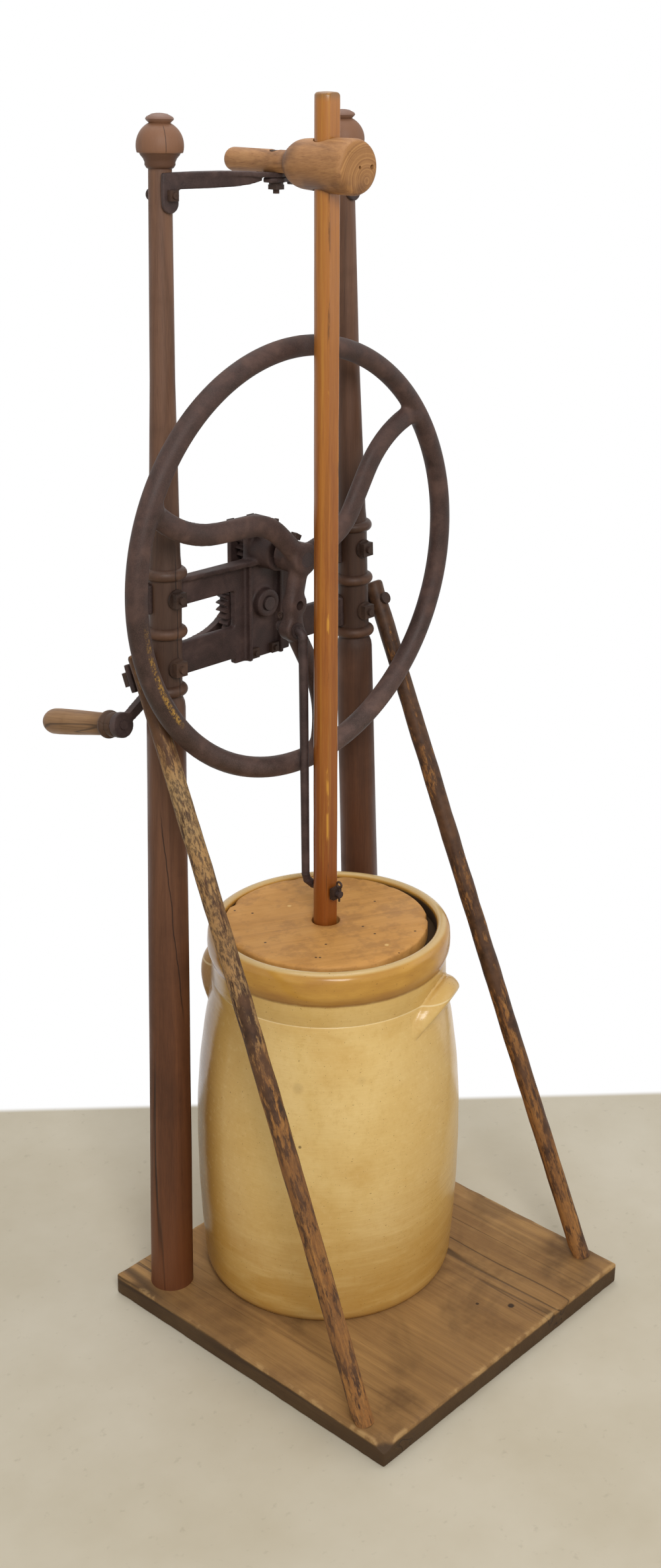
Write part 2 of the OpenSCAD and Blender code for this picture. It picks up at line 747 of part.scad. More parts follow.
// A straight stretch of spoke along X, then its children at the far end
module spoke_straight(l) {
    rotate([0, 90, 0]) cylinder(r = spoke_r, h = l);
    translate([l, 0, 0]) children();
}

// A bend of the spoke: a positive turn bends to the left, then its children
module spoke_bend(bend, turn) {
    s = sign(turn);
    more = bend_in / bend * 180 / PI;
    translate([0, s * bend, 0]) rotate([0, 0, (s > 0 ? -90 : 90 + turn) - more])
        rotate_extrude(angle = abs(turn) + 2 * more)
            translate([bend, 0]) circle(r = spoke_r - bend_less, $fn = 32);
    translate([0, s * bend, 0]) rotate([0, 0, turn]) translate([0, -s * bend, 0]) children();
}

// One S-shaped spoke, from the hub to the rim
module spoke()
    spoke_straight(spoke_1) spoke_bend(spoke_bend_1, spoke_turn_1)
        spoke_straight(spoke_2) spoke_bend(spoke_bend_2, -spoke_turn_2)
            spoke_straight(wheel_r - spoke_end_r);

// The cast flywheel: round rim, three spokes, hub, and bosses for the crank holes
module flywheel() color(iron) on_wheel() difference() {
    union() {
        rotate_extrude($fn = 96) translate([wheel_r, 0]) circle(r = rim_r, $fn = 32);
        for (i = [0 : 2]) rotate([0, 0, spoke_a + i * 120]) spoke();
        translate([0, 0, wheel_y - hub_front - hub_l]) cylinder(r = hub_r, h = hub_l);
        rotate([0, 0, crank_hole_a]) for (r = [short_r, crank_r])
            translate([r, 0, -spoke_r - 1]) cylinder(r = crank_boss_r, h = 2 * spoke_r + 2);
    }
    // Flat faces round the crank holes, front and rear
    rotate([0, 0, crank_hole_a]) for (r = [short_r, crank_r], z = [crank_boss_t / 2, -crank_boss_t / 2 - 10])
        translate([r, 0, z]) cylinder(r = crank_boss_r + 0.6, h = 10);
    translate([0, 0, -far / 2]) cylinder(r = shaft_d / 2 + fit_gap, h = far);
    rotate([0, 0, crank_hole_a]) for (r = [short_r, crank_r])
        translate([r, 0, -crank_boss_t]) cylinder(r = pitman_r + run_gap, h = 2 * crank_boss_t);
    hub_screw_shape(screw_r + fit_gap, 0, hub_r + 5);
}

// A round bar along the set screw, between two distances from the shaft's axis
screw_r = 4;
screw_a = 60;
screw_back = 22;
module hub_screw_shape(r, from, to)
    rotate([0, 0, screw_a]) translate([from, 0, -screw_back])
        rotate([0, 90, 0]) cylinder(r = r, h = to - from);

// Square-headed set screw that holds the flywheel on its shaft
module hub_set_screw() color(rusty) on_wheel() {
    hub_screw_shape(screw_r, shaft_d / 2 + fit_gap, hub_r + 3);
    rotate([0, 0, screw_a]) translate([hub_r + 2, -5, -screw_back - 5]) cube([7, 10, 10]);
}

// Crank and grip

// How far the arm's middle line lies below the straight line, at distance u
function bow(u) = u < crank_bow_l ? crank_bow * sin(180 * u / crank_bow_l) : 0;

// The S-shaped arm with its hub, as far as the middle of the eye
module crank_web() translate([0, crank_mid, gear_z]) rotate([90, 0, 0])
    rotate([0, 0, crank_a]) difference() {
        us = [for (u = [0 : crank_bow_l / 10 : crank_bow_l]) u];
        union() {
            translate([0, 0, -crank_t / 2]) linear_extrude(crank_t) polygon(concat(
                [for (u = us) [u, bow(u) - crank_w / 2]], [[crank_l, -crank_w * 0.34], [crank_l, crank_w * 0.34]],
                [for (i = [len(us) - 1 : -1 : 0]) [us[i], bow(us[i]) + crank_w / 2]]));
            translate([0, 0, -crank_hub_t / 2]) cylinder(r = crank_eye_r, h = crank_hub_t);
        }
        translate([0, 0, -crank_hub_t]) cylinder(r = crank_shaft_d / 2 + fit_gap, h = 2 * crank_hub_t);
    }

// Places things along the grip: Z points away from the crank, from the middle of its eye
module on_grip() translate(crank_end) rotate([-90 - grip_tilt, 0, 0]) children();

// The crank, with its eye square to the grip
module crank_arm() color(iron) difference() {
    union() {
        difference() {
            crank_web();
            on_grip() {
                translate([0, 0, crank_t / 2 - side_gap]) cylinder(r = crank_eye_r * 2, h = far);
                translate([0, 0, side_gap - crank_t / 2 - far]) cylinder(r = crank_eye_r, h = far);
            }
        }
        on_grip() translate([0, 0, -crank_t / 2]) cylinder(r = crank_eye_r, h = crank_t);
    }
    on_grip() translate([0, 0, -crank_t]) cylinder(r = spindle_d / 2 + fit_gap, h = 2 * crank_t);
}

// Square nut on the rear end of the crank's shaft
module crank_nut() color(rusty) difference() {
    square_y(nut_w + 8, nut_t, [0, crank_rear, gear_z]);
    along_y(crank_shaft_d / 2 + fit_gap, 3 * nut_t, [0, crank_rear - nut_t, gear_z]);
}

// Iron spindle riveted in the crank's eye
module grip_spindle() color(rusty) on_grip() {
    translate([0, 0, -crank_t / 2]) cylinder(r = spindle_d / 2, h = crank_t / 2 + grip_from + grip_l - grip_blind - side_gap);
    translate([0, 0, crank_t / 2]) cylinder(r = spindle_d / 2 + 2.5, h = 2 - side_gap);
    translate([0, 0, -crank_t / 2 - 1.5]) cylinder(r = spindle_d / 2 + 1.5, h = 1.5);
}

// Turned wooden grip, free to turn on the spindle
module grip() color(pine) on_grip() translate([0, 0, grip_from]) difference() {
    rotate_extrude() polygon(concat(
        [[0, 0], [grip_neck_r, 0], [grip_neck_r + 1.5, 2], [grip_neck_r + 1.5, 9], [grip_neck_r + 0.8, 11]],
        [for (a = [-60 : 20 : 60]) [grip_bead_r - 4 + 4 * cos(a), 17 + 5 * sin(a)]],
        [[grip_neck_r, 23], [grip_neck_r + 0.6, grip_l * 0.3], [(grip_neck_r + grip_r) / 2 + 0.6, grip_l * 0.55],
         [grip_r, grip_l * 0.8]],
        [for (a = [10 : 16 : 90]) [grip_r * cos(a), grip_l - grip_round * (1 - sin(a))]]));
    translate([0, 0, -over]) cylinder(r = spindle_d / 2 + run_gap, h = grip_l - grip_blind + over);
}

// Pitman

// The iron rod from the flywheel's crank hole down to the dasher's pin
module pitman() color(iron) difference() {
    leg_top = [pin_x, leg_y, crank_pin_z - pitman_bend];
    leg_low = [-pitman_foot_x, leg_y, pin_z + foot_rise];
    knee = [-pitman_foot_x + 3, leg_y, pin_z + foot_rise / 2];
    toe = [0, leg_y - 0.6, pin_z];
    union() {
        along_y(pitman_r, pin_rear - leg_y - pitman_bend, [pin_x, leg_y + pitman_bend, crank_pin_z]);
        translate([pin_x, leg_y + pitman_bend, crank_pin_z - pitman_bend]) rotate([90, 0, 90]) rotate([0, 0, 90])
            rotate_extrude(angle = 90) translate([pitman_bend, 0]) circle(r = pitman_r, $fn = 32);
        translate([pin_x, leg_y + pitman_bend, crank_pin_z]) sphere(r = pitman_r + joint_r);
        translate(leg_top) sphere(r = pitman_r + joint_r);
        rod(leg_top, leg_low, pitman_r, pitman_foot_r);
        bent_rod([leg_low, knee, toe, [0, pitman_end_y, pin_z]], pitman_foot_r);
        translate(leg_low) sphere(r = pitman_foot_r + joint_r);
    }
    translate([pin_x, pin_rear - 3, crank_pin_z - 2 * pitman_r]) cylinder(r = cotter_r + fit_gap, h = 4 * pitman_r);
}

cotter_r = 1.4;

// Collar on the crank pin, between the pitman's bend and the flywheel
module crank_pin_collar() color(iron) difference() {
    along_y(pitman_r + 3.5, collar_t, [pin_x, leg_y + pitman_bend, crank_pin_z]);
    along_y(pitman_r + joint_r + fit_gap, 3 * collar_t, [pin_x, leg_y + pitman_bend - collar_t, crank_pin_z]);
}

// Washer behind the flywheel's crank boss
module crank_pin_washer() color(iron) {
    from = wheel_y + crank_boss_t / 2 + side_gap;
    difference() {
        along_y(pitman_r + 5, washer_t, [pin_x, from, crank_pin_z]);
        along_y(pitman_r + fit_gap, 3 * washer_t, [pin_x, from - washer_t, crank_pin_z]);
    }
}

// A split pin through a bore along Z: a straight leg with a ring on top
module cotter(at, l) translate(at) {
    translate([0, 0, -l / 2]) cylinder(r = cotter_r, h = l);
    translate([0, 0, l / 2 + 3.2]) rotate([0, 90, 0])
        rotate_extrude() translate([4, 0]) circle(r = cotter_r, $fn = 24);
}

module crank_pin_cotter() color(rusty) cotter([pin_x, pin_rear - 3, crank_pin_z], 2 * pitman_r + 8);

// Dasher

// The long round dasher, with a domed top
module dasher() color(varnish) difference() {
    translate([0, dasher_y, 0]) rotate_extrude() polygon(concat(
        [[0, foot_z], [dasher_r, foot_z]],
        [for (a = [0 : 15 : 90]) [dasher_r - 5 + 5 * cos(a), dasher_top - 6.5 + 5 * sin(a)]],
        [[0, dasher_top]]));
    along_y(pin_d / 2 + fit_gap, 4 * dasher_r, [0, dasher_y - 2 * dasher_r, pin_z]);
    translate([-2 * dasher_r, dasher_y, peg_z]) rotate([0, 90, 0]) cylinder(r = peg_r + fit_gap, h = 4 * dasher_r);
}

peg_r = 4.5;
peg_z = foot_z + 2 * slat_t + peg_r + side_gap;
pin_front = dasher_front - 13;

// Iron pin through the dasher, which the pitman's foot turns on
module dasher_pin() color(rusty) difference() {
    along_y(pin_d / 2, dasher_rear + pin_stub - pin_front, [0, pin_front, pin_z]);
    translate([0, pin_front + 3, pin_z - pin_d]) cylinder(r = cotter_r + fit_gap, h = 2 * pin_d);
}

module dasher_nut() color(rusty) difference() {
    square_y(nut_w - 3, nut_t - 1, [0, dasher_front - nut_t + 1, pin_z]);
    along_y(pin_d / 2 + fit_gap, 3 * nut_t, [0, dasher_front - 2 * nut_t, pin_z]);
}

module dasher_cotter() color(rusty) cotter([0, pin_front + 3, pin_z], nut_w + 2);

// One slat of the dasher's foot, along X, with round ends and holes
module slat(z) translate([0, 0, z]) difference() {
    intersection() {
        translate([-slat_l / 2, -slat_w / 2, 0]) cube([slat_l, slat_w, slat_t]);
        cylinder(r = slat_l / 2, h = slat_t);
    }
    translate([0, 0, -over]) cylinder(r = dasher_r + fit_gap, h = slat_t + 2 * over);
    for (x = [-0.36, -0.22, 0.22, 0.36] * slat_l)
        translate([x, 0, -over]) cylinder(r = slat_hole_r, h = slat_t + 2 * over);
}

module foot_slat_lower() color(pine) translate([0, dasher_y, foot_z]) slat(0);
module foot_slat_upper() color(pine) translate([0, dasher_y, foot_z]) rotate([0, 0, 90]) slat(slat_t);

// Wooden peg through the dasher, on top of the slats
module foot_peg() color(pine)
    translate([-slat_w / 2 - 4, dasher_y, peg_z]) rotate([0, 90, 0]) cylinder(r = peg_r, h = slat_w + 8);

// Guide

// The turned guide block: a drum with the dasher's hole, and a tail
module guide_block() color(weathered) difference() {
    tail = tail_end - guide_front;
    translate([0, guide_front, guide_z]) rotate([-90, 0, 0]) rotate_extrude() polygon([
        [0, 0], [guide_r - 7, 0], [guide_r - 2.5, 2], [guide_r, 8], [guide_r - 0.5, 40],
        [guide_rear_r, guide_l - 20], [guide_rear_r - 2, guide_l - 12], [guide_rear_r - 6, guide_l - 5],
        [tail_r + 6, guide_l],
        [tail_r + 2, guide_l + 1], [tail_r + 1, guide_l + 8], [tail_r, guide_l + 14],
        [tail_r, tail - 5], [tail_r - 2, tail - 1.5], [tail_r - 5, tail], [0, tail]]);
    translate([0, dasher_y, guide_z - 2 * guide_r]) cylinder(r = dasher_r + guide_gap, h = 4 * guide_r);
    translate([0, guide_bolt_y, guide_z - 2 * guide_r])
        cylinder(r = arm_bolt_d / 2 + fit_gap, h = 4 * guide_r);
    translate([0, guide_bolt_y, guide_z + tail_r - bolt_head_h])
        cylinder(r = arm_bolt_d + fit_gap, h = guide_r);
    for (x = [0, 21]) along_y(2, 12, [x, guide_front - 2, guide_z]);
}

// One iron arm from a post to the guide's tail; tab_z is its end tab's top
module guide_arm(side, tab_z) color(iron) difference() {
    root = [side * post_x(arm_bolt_z), post_y(arm_bolt_z) - arm_seat_r - arm_t / 2 - arm_gap];
    reach = norm([root.x, root.y - guide_bolt_y]);
    turn = atan2(root.y - guide_bolt_y, root.x);
    union() {
        on_post(side) translate([-arm_pad_w / 2, -arm_seat_r - arm_gap - arm_t, post_s(pad_low)])
            cube([arm_pad_w, arm_t, post_s(arm_top) - post_s(pad_low)]);
        on_post(side) along_y(arm_pad_w / 2, arm_t, [0, -arm_seat_r - arm_gap - arm_t, post_s(pad_low)]);
        translate([0, guide_bolt_y, 0]) rotate([0, 0, turn]) {
            translate([2 * tail_r, -arm_t / 2, arm_top - arm_h]) cube([reach - 2 * tail_r, arm_t, arm_h]);
            translate([0, 0, arm_top - 4]) linear_extrude(4) polygon([[2 * tail_r, 0],
                [2.6 * tail_r, side * -arm_flange * 0.6], [reach - 2 * tail_r, side * -arm_flange],
                [reach, side * -arm_flange], [reach, 0]]);
            translate([0, -arm_pad_w / 2 + 2, tab_z - arm_t])
                cube([2 * tail_r + arm_t, arm_pad_w - 4, arm_t]);
            translate([0, 0, tab_z - arm_t]) cylinder(r = arm_pad_w / 2 - 2, h = arm_t);
        }
    }
    on_post(side) along_y(arm_bolt_d / 2 + fit_gap, 4 * arm_seat_r, [0, -2 * arm_seat_r, post_s(arm_bolt_z)]);
    on_post(side) translate([0, 0, post_s(pad_low) - arm_pad_w])
        cylinder(r = arm_seat_r + arm_gap / 2, h = post_s(arm_top) - post_s(pad_low) + 2 * arm_pad_w);
    translate([0, guide_bolt_y, tab_z - 2 * arm_t]) cylinder(r = arm_bolt_d / 2 + fit_gap, h = 4 * arm_t);
}

left_tab_z = tail_low - arm_gap;
right_tab_z = left_tab_z - arm_t;
module left_arm() guide_arm(-1, left_tab_z);
module right_arm() guide_arm(1, right_tab_z);

module arm_bolts() color(rusty)
    for (side = [-1, 1]) on_post(side) {
        front = arm_seat_r + arm_gap + arm_t + small_nut_t + 3;
        along_y(arm_bolt_d / 2, front + arm_seat_r, [0, -front, post_s(arm_bolt_z)]);
        along_y(arm_bolt_d * 0.9, 4, [0, arm_seat_r, post_s(arm_bolt_z)]);
    }

module arm_nuts() color(rusty)
    for (side = [-1, 1]) on_post(side) difference() {
        square_y(small_nut_w, small_nut_t, [0, -arm_seat_r - arm_gap - arm_t - small_nut_t, post_s(arm_bolt_z)]);
        along_y(arm_bolt_d / 2 + fit_gap, 30, [0, -arm_seat_r - 25, post_s(arm_bolt_z)]);
    }

guide_nut_z = right_tab_z - arm_t - washer_t - small_nut_t;

module guide_bolt() color(rusty) translate([0, guide_bolt_y, 0]) {
    translate([0, 0, guide_nut_z - 5])
        cylinder(r = arm_bolt_d / 2, h = guide_z + tail_r - bolt_head_h - guide_nut_z + 5);
    translate([0, 0, guide_z + tail_r - bolt_head_h]) cylinder(r = arm_bolt_d - 0.5, h = bolt_head_h - 1);
}

module guide_washer() color(rusty) translate([0, guide_bolt_y, guide_nut_z + small_nut_t]) difference() {
    cylinder(r = arm_bolt_d + 1, h = washer_t);
    translate([0, 0, -over]) cylinder(r = arm_bolt_d / 2 + fit_gap, h = washer_t + 2 * over);
}

module guide_nut() color(rusty) translate([0, guide_bolt_y, guide_nut_z]) difference() {
    translate([-small_nut_w / 2 - 0.5, -small_nut_w / 2 - 0.5, 0]) cube([small_nut_w + 1, small_nut_w + 1, small_nut_t]);
    translate([0, 0, -over]) cylinder(r = arm_bolt_d / 2 + fit_gap, h = small_nut_t + 2 * over);
}

// Crock and lid

// Radius of the crock's body at height s above its foot
function crock_r(s) = s < belly_s
    ? crock_belly_r - (crock_belly_r - crock_foot_r) * pow((belly_s - s) / belly_s, 2)
    : crock_belly_r - (crock_belly_r - crock_neck_r) * pow(min(1, (s - belly_s) / (shoulder_s - belly_s)), 2);

// Heights at which the crock's curve is drawn, from a to b
function crock_heights(a, b) = [for (i = [0 : crock_steps]) a + (b - a) * i / crock_steps];

// One ear handle: a solid lug, a tilted disc with a round edge that stands out of the crock's wall
module ear_handle(a)
    rotate([0, 0, a]) translate([crock_neck_r, 0, ear_h]) rotate([0, -ear_tilt, 0])
        translate([-ear_in, 0, 0]) rotate_extrude()
            polygon(concat([[0, -ear_web]],
                [for (t = [-90 : 30 : 90]) [ear_r + ear_edge.x * cos(t), ear_edge.y * sin(t)]],
                [[0, ear_web]]));

// The stoneware crock, open at the top, with a ledge for the lid
module crock() color(buff) translate([crock_x, crock_y, board_t]) difference() {
    union() {
        rotate_extrude($fn = 128) polygon(concat([[0, 0], [crock_foot_r - 9, 0], [crock_foot_r - 4, 2], [crock_foot_r - 0.5, 8]],
            [for (s = crock_heights(14, shoulder_s)) [crock_r(s), s]],
            [[crock_neck_r, band_s], [crock_rim_r - 1, band_s + 4], [crock_rim_r, band_s + 11],
             [crock_rim_r, crock_h - 9], [crock_rim_r - 2, crock_h - 3.5], [crock_rim_r - 6, crock_h],
             [0, crock_h]]));
        for (i = [0, 1]) ear_handle(ear_a + 180 * i);
    }
    rotate_extrude($fn = 128) polygon(concat([[0, crock_floor], [crock_r(crock_floor) - crock_wall - 6, crock_floor]],
        [for (s = crock_heights(crock_floor + 6, shoulder_s)) [crock_r(s) - crock_wall, s]],
        [[crock_neck_r - crock_wall, band_s - 12], [ledge_r, ledge_s - 10], [ledge_r, ledge_s],
         [mouth_r, ledge_s], [mouth_r, crock_h - 6], [mouth_r + 4, crock_h], [mouth_r + 4, crock_h + over],
         [0, crock_h + over]]));
}

// The wooden lid, with a hole for the dasher
module lid() color(pine) translate([lid_x, lid_y, board_t + ledge_s]) difference() {
    cylinder(r = lid_r, h = lid_t, $fn = 128);
    translate([0, 0, -over]) cylinder(r = lid_hole_r, h = lid_t + 2 * over);
}

base_board();
left_post();
right_post();
left_brace();
right_brace();
gear_frame();
bearing_bridge();
frame_bolts();
frame_washers();
frame_nuts();
bridge_bolts();
bridge_nuts();
brace_bolts();
brace_nuts();
flywheel();
flywheel_shaft();
hub_set_screw();
pinion();
pinion_key();
crank_gear();
crank_shaft();
gear_key();
crank_arm();
crank_nut();
grip_spindle();
grip();
pitman();
crank_pin_collar();
crank_pin_washer();
crank_pin_cotter();
dasher();
dasher_pin();
dasher_nut();
dasher_cotter();
foot_slat_lower();
foot_slat_upper();
foot_peg();
guide_block();
left_arm();
right_arm();
arm_bolts();
arm_nuts();
guide_bolt();
guide_washer();
guide_nut();
crock();
lid();
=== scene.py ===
# %% [markdown]
# # A floor butter churn
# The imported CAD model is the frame: it holds every size and every joint. This script gives it the look of
# the old machine. Wooden and cast pieces with soft or worn shapes are made again here with Blender's mesh
# operators, and the small iron pieces keep their CAD meshes and get a finish. All lengths are in metres.

# %% Load the frame
import functools
import json
import math

import bmesh
import bpy
from mathutils import Matrix, Vector, noise


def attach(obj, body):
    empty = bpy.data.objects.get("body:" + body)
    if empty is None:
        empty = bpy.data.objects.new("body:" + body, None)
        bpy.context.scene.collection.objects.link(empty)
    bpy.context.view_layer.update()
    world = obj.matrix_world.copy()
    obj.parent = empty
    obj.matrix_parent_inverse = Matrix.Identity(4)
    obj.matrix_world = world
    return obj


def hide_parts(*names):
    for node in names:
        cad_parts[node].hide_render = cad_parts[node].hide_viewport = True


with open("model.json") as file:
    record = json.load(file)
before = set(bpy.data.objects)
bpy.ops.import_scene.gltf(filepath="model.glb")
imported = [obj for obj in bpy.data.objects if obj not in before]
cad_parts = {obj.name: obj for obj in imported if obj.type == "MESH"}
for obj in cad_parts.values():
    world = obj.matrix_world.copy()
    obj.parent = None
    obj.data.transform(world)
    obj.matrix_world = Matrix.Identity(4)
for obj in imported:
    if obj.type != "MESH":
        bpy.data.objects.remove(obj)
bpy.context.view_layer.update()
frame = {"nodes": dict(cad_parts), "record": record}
nodes = frame["nodes"]


def put_in_scene(name, data):
    """Makes an object of a mesh, a lamp or a camera."""
    made = bpy.data.objects.new(name, data)
    bpy.context.scene.collection.objects.link(made)
    return made


# %% [markdown]
# ## Camera
# The photograph looks down a little from the front left, from the height of a standing person's eyes. Its
# frame is tall and narrow, and the object stands low in it, so the lens is shifted instead of being tilted
# further. The numbers come from fitting the board, the wheel and the posts.

# %% Camera
PHOTO_W, PHOTO_H = 1000, 2373
FOCAL_PX = 2853.9
AXIS_PX = (632.7, 778.0)
SENSOR = 36.0
CAMERA_PLACE = Vector((-1.6617, -1.5126, 1.6428))
CAMERA_YAW, CAMERA_PITCH, CAMERA_ROLL = (math.radians(v) for v in (-49.04, -13.89, 0.84))

look = Vector((-math.sin(CAMERA_YAW) * math.cos(CAMERA_PITCH),
               math.cos(CAMERA_YAW) * math.cos(CAMERA_PITCH), math.sin(CAMERA_PITCH)))
right = Vector((math.cos(CAMERA_YAW), math.sin(CAMERA_YAW), 0))
up = right.cross(look)
right, up = (math.cos(CAMERA_ROLL) * right + math.sin(CAMERA_ROLL) * up,
             math.cos(CAMERA_ROLL) * up - math.sin(CAMERA_ROLL) * right)

lens = bpy.data.cameras.new("camera")
lens.sensor_width = SENSOR
lens.lens = FOCAL_PX * SENSOR / PHOTO_H
lens.shift_x = (PHOTO_W / 2 - AXIS_PX[0]) / PHOTO_H
lens.shift_y = (AXIS_PX[1] - PHOTO_H / 2) / PHOTO_H
camera = put_in_scene("camera", lens)
camera.matrix_world = Matrix.Translation(CAMERA_PLACE) @ Matrix((right, up, -look)).transposed().to_4x4()
bpy.context.scene.camera = camera
print("lens", round(lens.lens, 2), "mm")

# %% [markdown]
# ## Helpers for materials
# A shader is a small net of nodes. One function adds a node: its settings are plain attributes, and its
# inputs are values, colours or other nodes' outputs. The other helpers say what a painter does with it:
# fade between two places, multiply masks, and lay one coat of colour over another.

# %% A net and its nodes
net = None


def linear(hex_colour):
    """An sRGB colour such as "#8A6040" as the linear RGBA that a socket wants."""
    channels = [int(hex_colour[i:i + 2], 16) / 255 for i in (1, 3, 5)]
    return [c / 12.92 if c <= 0.04045 else ((c + 0.055) / 1.055) ** 2.4 for c in channels] + [1.0]


def add(kind, inputs=None, **settings):
    """Adds one node to the net. A number in inputs picks a socket by place, and text picks it by name."""
    made = net.nodes.new("ShaderNode" + kind)
    for key, value in settings.items():
        setattr(made, key, value)
    for key, value in (inputs or {}).items():
        if isinstance(value, bpy.types.NodeSocket):
            net.links.new(value, made.inputs[key])
        else:
            made.inputs[key].default_value = linear(value) if isinstance(value, str) else value
    return made


def start_net(owner):
    """Empties the net of a material or a world. The helpers draw in it until the next one is started."""
    global net
    owner.use_nodes = True
    net = owner.node_tree
    net.nodes.clear()


def new_material(name, draw):
    """A material. draw is a function that lays its net from the Object coordinates."""
    made = bpy.data.materials.new(name)
    start_net(made)
    draw(add("TexCoord").outputs["Object"])
    return made


# %% Numbers and masks


def maths(operation, first, second=0.0, clamp=True):
    """One step of maths. Masks are kept from 0 to 1."""
    return add("Math", {0: first, 1: second}, operation=operation, use_clamp=clamp).outputs[0]


def times(*masks):
    return functools.reduce(functools.partial(maths, "MULTIPLY"), masks)


def most(*masks):
    return functools.reduce(functools.partial(maths, "MAXIMUM"), masks)


def plus(*values):
    return functools.reduce(functools.partial(maths, "ADD", clamp=False), values)


def minus(first, second):
    return maths("SUBTRACT", first, second, clamp=False)


def between(value, low, high, top=1.0, base=0.0):
    """value turned smoothly from base to top as it goes from low to high."""
    return add("MapRange", {"Value": value, "From Min": low, "From Max": high, "To Min": base,
                            "To Max": top}, interpolation_type="SMOOTHSTEP").outputs["Result"]


def within(value, start, full, still_full, end):
    """Two masks. Their product is 1 from full to still_full, and 0 before start and after end."""
    return between(value, start, full), between(value, end, still_full)


def line_on(value, middle, core, fade, strength=1.0):
    """A line where value is middle: whole within core of it, and gone farther off than fade."""
    off = minus(value, middle) if middle else value
    return between(maths("ABSOLUTE", off), core, fade, 0.0, strength)


# %% Places


def vectors(operation, *inputs):
    """One step of vector maths. A length, distance or dot product comes out as a number."""
    made = add("VectorMath", dict(enumerate(inputs)), operation=operation)
    return made.outputs["Value" if operation in ("LENGTH", "DISTANCE", "DOT_PRODUCT") else "Vector"]


def axes(place):
    """The X, Y and Z of a place."""
    return list(add("SeparateXYZ", {0: place}).outputs)


def toward(place, origin, direction):
    """How far a place lies from origin in a direction."""
    return vectors("DOT_PRODUCT", vectors("SUBTRACT", place, origin), direction)


def spots_at(place, points, reach):
    """1 close to any of the points, 0 farther off than reach."""
    return most(*[between(vectors("DISTANCE", place, point), reach * 0.55, reach, 0.0, 1.0)
                  for point in points])


def at_height(z, points):
    return [(x, y, z) for x, y in points]


def stretched(place, scale, turn=(0, 0, 0)):
    """Coordinates, turned and then scaled: a low scale draws a pattern out along that axis."""
    along_grain = add("Mapping", {"Vector": place, "Rotation": turn}).outputs[0]
    return add("Mapping", {"Vector": along_grain, "Scale": scale}).outputs[0]


def upright(place, scale, turn=(0, 0, 0)):
    """Coordinates that draw a pattern out, or press it together, along Z alone."""
    return stretched(place, (1.0, 1.0, scale), turn)


def noise_of(vector, scale, detail=5.0, roughness=0.55, distortion=0.0):
    return add("TexNoise", {"Vector": vector, "Scale": scale, "Detail": detail, "Roughness": roughness,
                            "Distortion": distortion}).outputs["Fac"]


# %% Colours and the surface


def ramp(fac, *stops):
    """A colour ramp. Each stop is (position, "#hex")."""
    made = add("ValToRGB", {"Fac": fac})
    points = made.color_ramp.elements
    while len(points) < len(stops):
        points.new(0.5)
    for point, (position, colour) in zip(points, stops):
        point.position, point.color = position, linear(colour)
    return made.outputs["Color"]


def mixed(fac, first, second, blend="MIX"):
    return add("Mix", {"Factor": fac, 6: first, 7: second}, data_type="RGBA", blend_type=blend).outputs[2]


def coated(colour, *coats):
    """Lays coats over a colour, one after the other. Each is a mask, a colour and perhaps a blend mode."""
    for mask, *coat in coats:
        colour = mixed(mask, colour, *coat)
    return colour


def tinted(colour, value, *tints):
    """Coats that fade in along one value. Each tint is low, high, strength, colour and perhaps a blend."""
    return coated(colour, *[(between(value, low, high, top), *coat) for low, high, top, *coat in tints])


def surface(colour, roughness, height, strength, distance, **shine):
    """Closes a net: colour and roughness into the shader, height into a bump of so many metres."""
    bump = add("Bump", {"Height": height, "Strength": strength, "Distance": distance}).outputs[0]
    inputs = {"Base Color": colour, "Roughness": roughness, "Normal": bump}
    inputs.update({key.replace("_", " "): value for key, value in shine.items()})
    add("OutputMaterial", {"Surface": add("BsdfPrincipled", inputs).outputs[0]})


# %% [markdown]
# ## Iron
# The wheel, frame and gears are grey cast iron with a thin, even brown rust, which the eye sees as a dark
# purple brown with a fine pitted grain of about a millimetre. Rust is not a metal to light, so the surface
# is only slightly metallic. Rods are wrought: the same colour, darker and a little smoother. The bolts,
# nuts and arms are redder and more pitted.

# %% Iron finishes
GRAIN_OF_CASTING = 0.0012
CASTING_BUMP = (0.45, 0.0006)


def iron_net(place, dark, body, pale):
    """Colour, roughness and height of old iron."""
    grain = noise_of(place, 1 / GRAIN_OF_CASTING, 3.0, 0.6)
    blotch = noise_of(place, 26.0, 6.0, 0.6, 0.3)
    cloud = noise_of(place, 7.0, 3.0)
    colour = coated(
        ramp(blotch, (0.30, dark), (0.5, body), (0.70, pale)),
        (between(cloud, 0.44, 0.68, 0.4), dark),
        (between(grain, 0.40, 0.70, 0.35), pale))
    return colour, between(blotch, 0.3, 0.7, 0.72, 0.5), mixed(0.5, grain, blotch)


def iron(place, colours, bump=CASTING_BUMP, metallic=0.1, gloss=0.3):
    surface(*iron_net(place, *colours), *bump, Metallic=metallic, Specular_IOR_Level=gloss)


def cast_iron(place):
    iron(place, ("#271B18", "#3C2C29", "#58443E"))


def wrought_iron(place):
    iron(place, ("#281E1D", "#3E302D", "#5A4742"), (0.3, 0.0004), 0.15, 0.35)


def iron_hardware(place):
    iron(place, ("#251914", "#3B2B23", "#584032"), (0.45, 0.0005))


# %% [markdown]
# The rim keeps a little of its old yellow line paint at the lower left: a stripe a few millimetres wide on
# the front of the rim, of which only flecks are left. The stripe's mask is made of the distance from the
# wheel's axis and the angle round it, and noise breaks it up. Above its lowest part the wheel is darkened
# by painted shade, which leaves the bottom lighter as if lit from the floor.

# %% Rim with the last of its paint
WHEEL_CENTRE = Vector((0, 0.128, 1.006))
RIM_R, RIM_TUBE = 0.274, 0.01375
STRIPE_R = RIM_R - 0.001


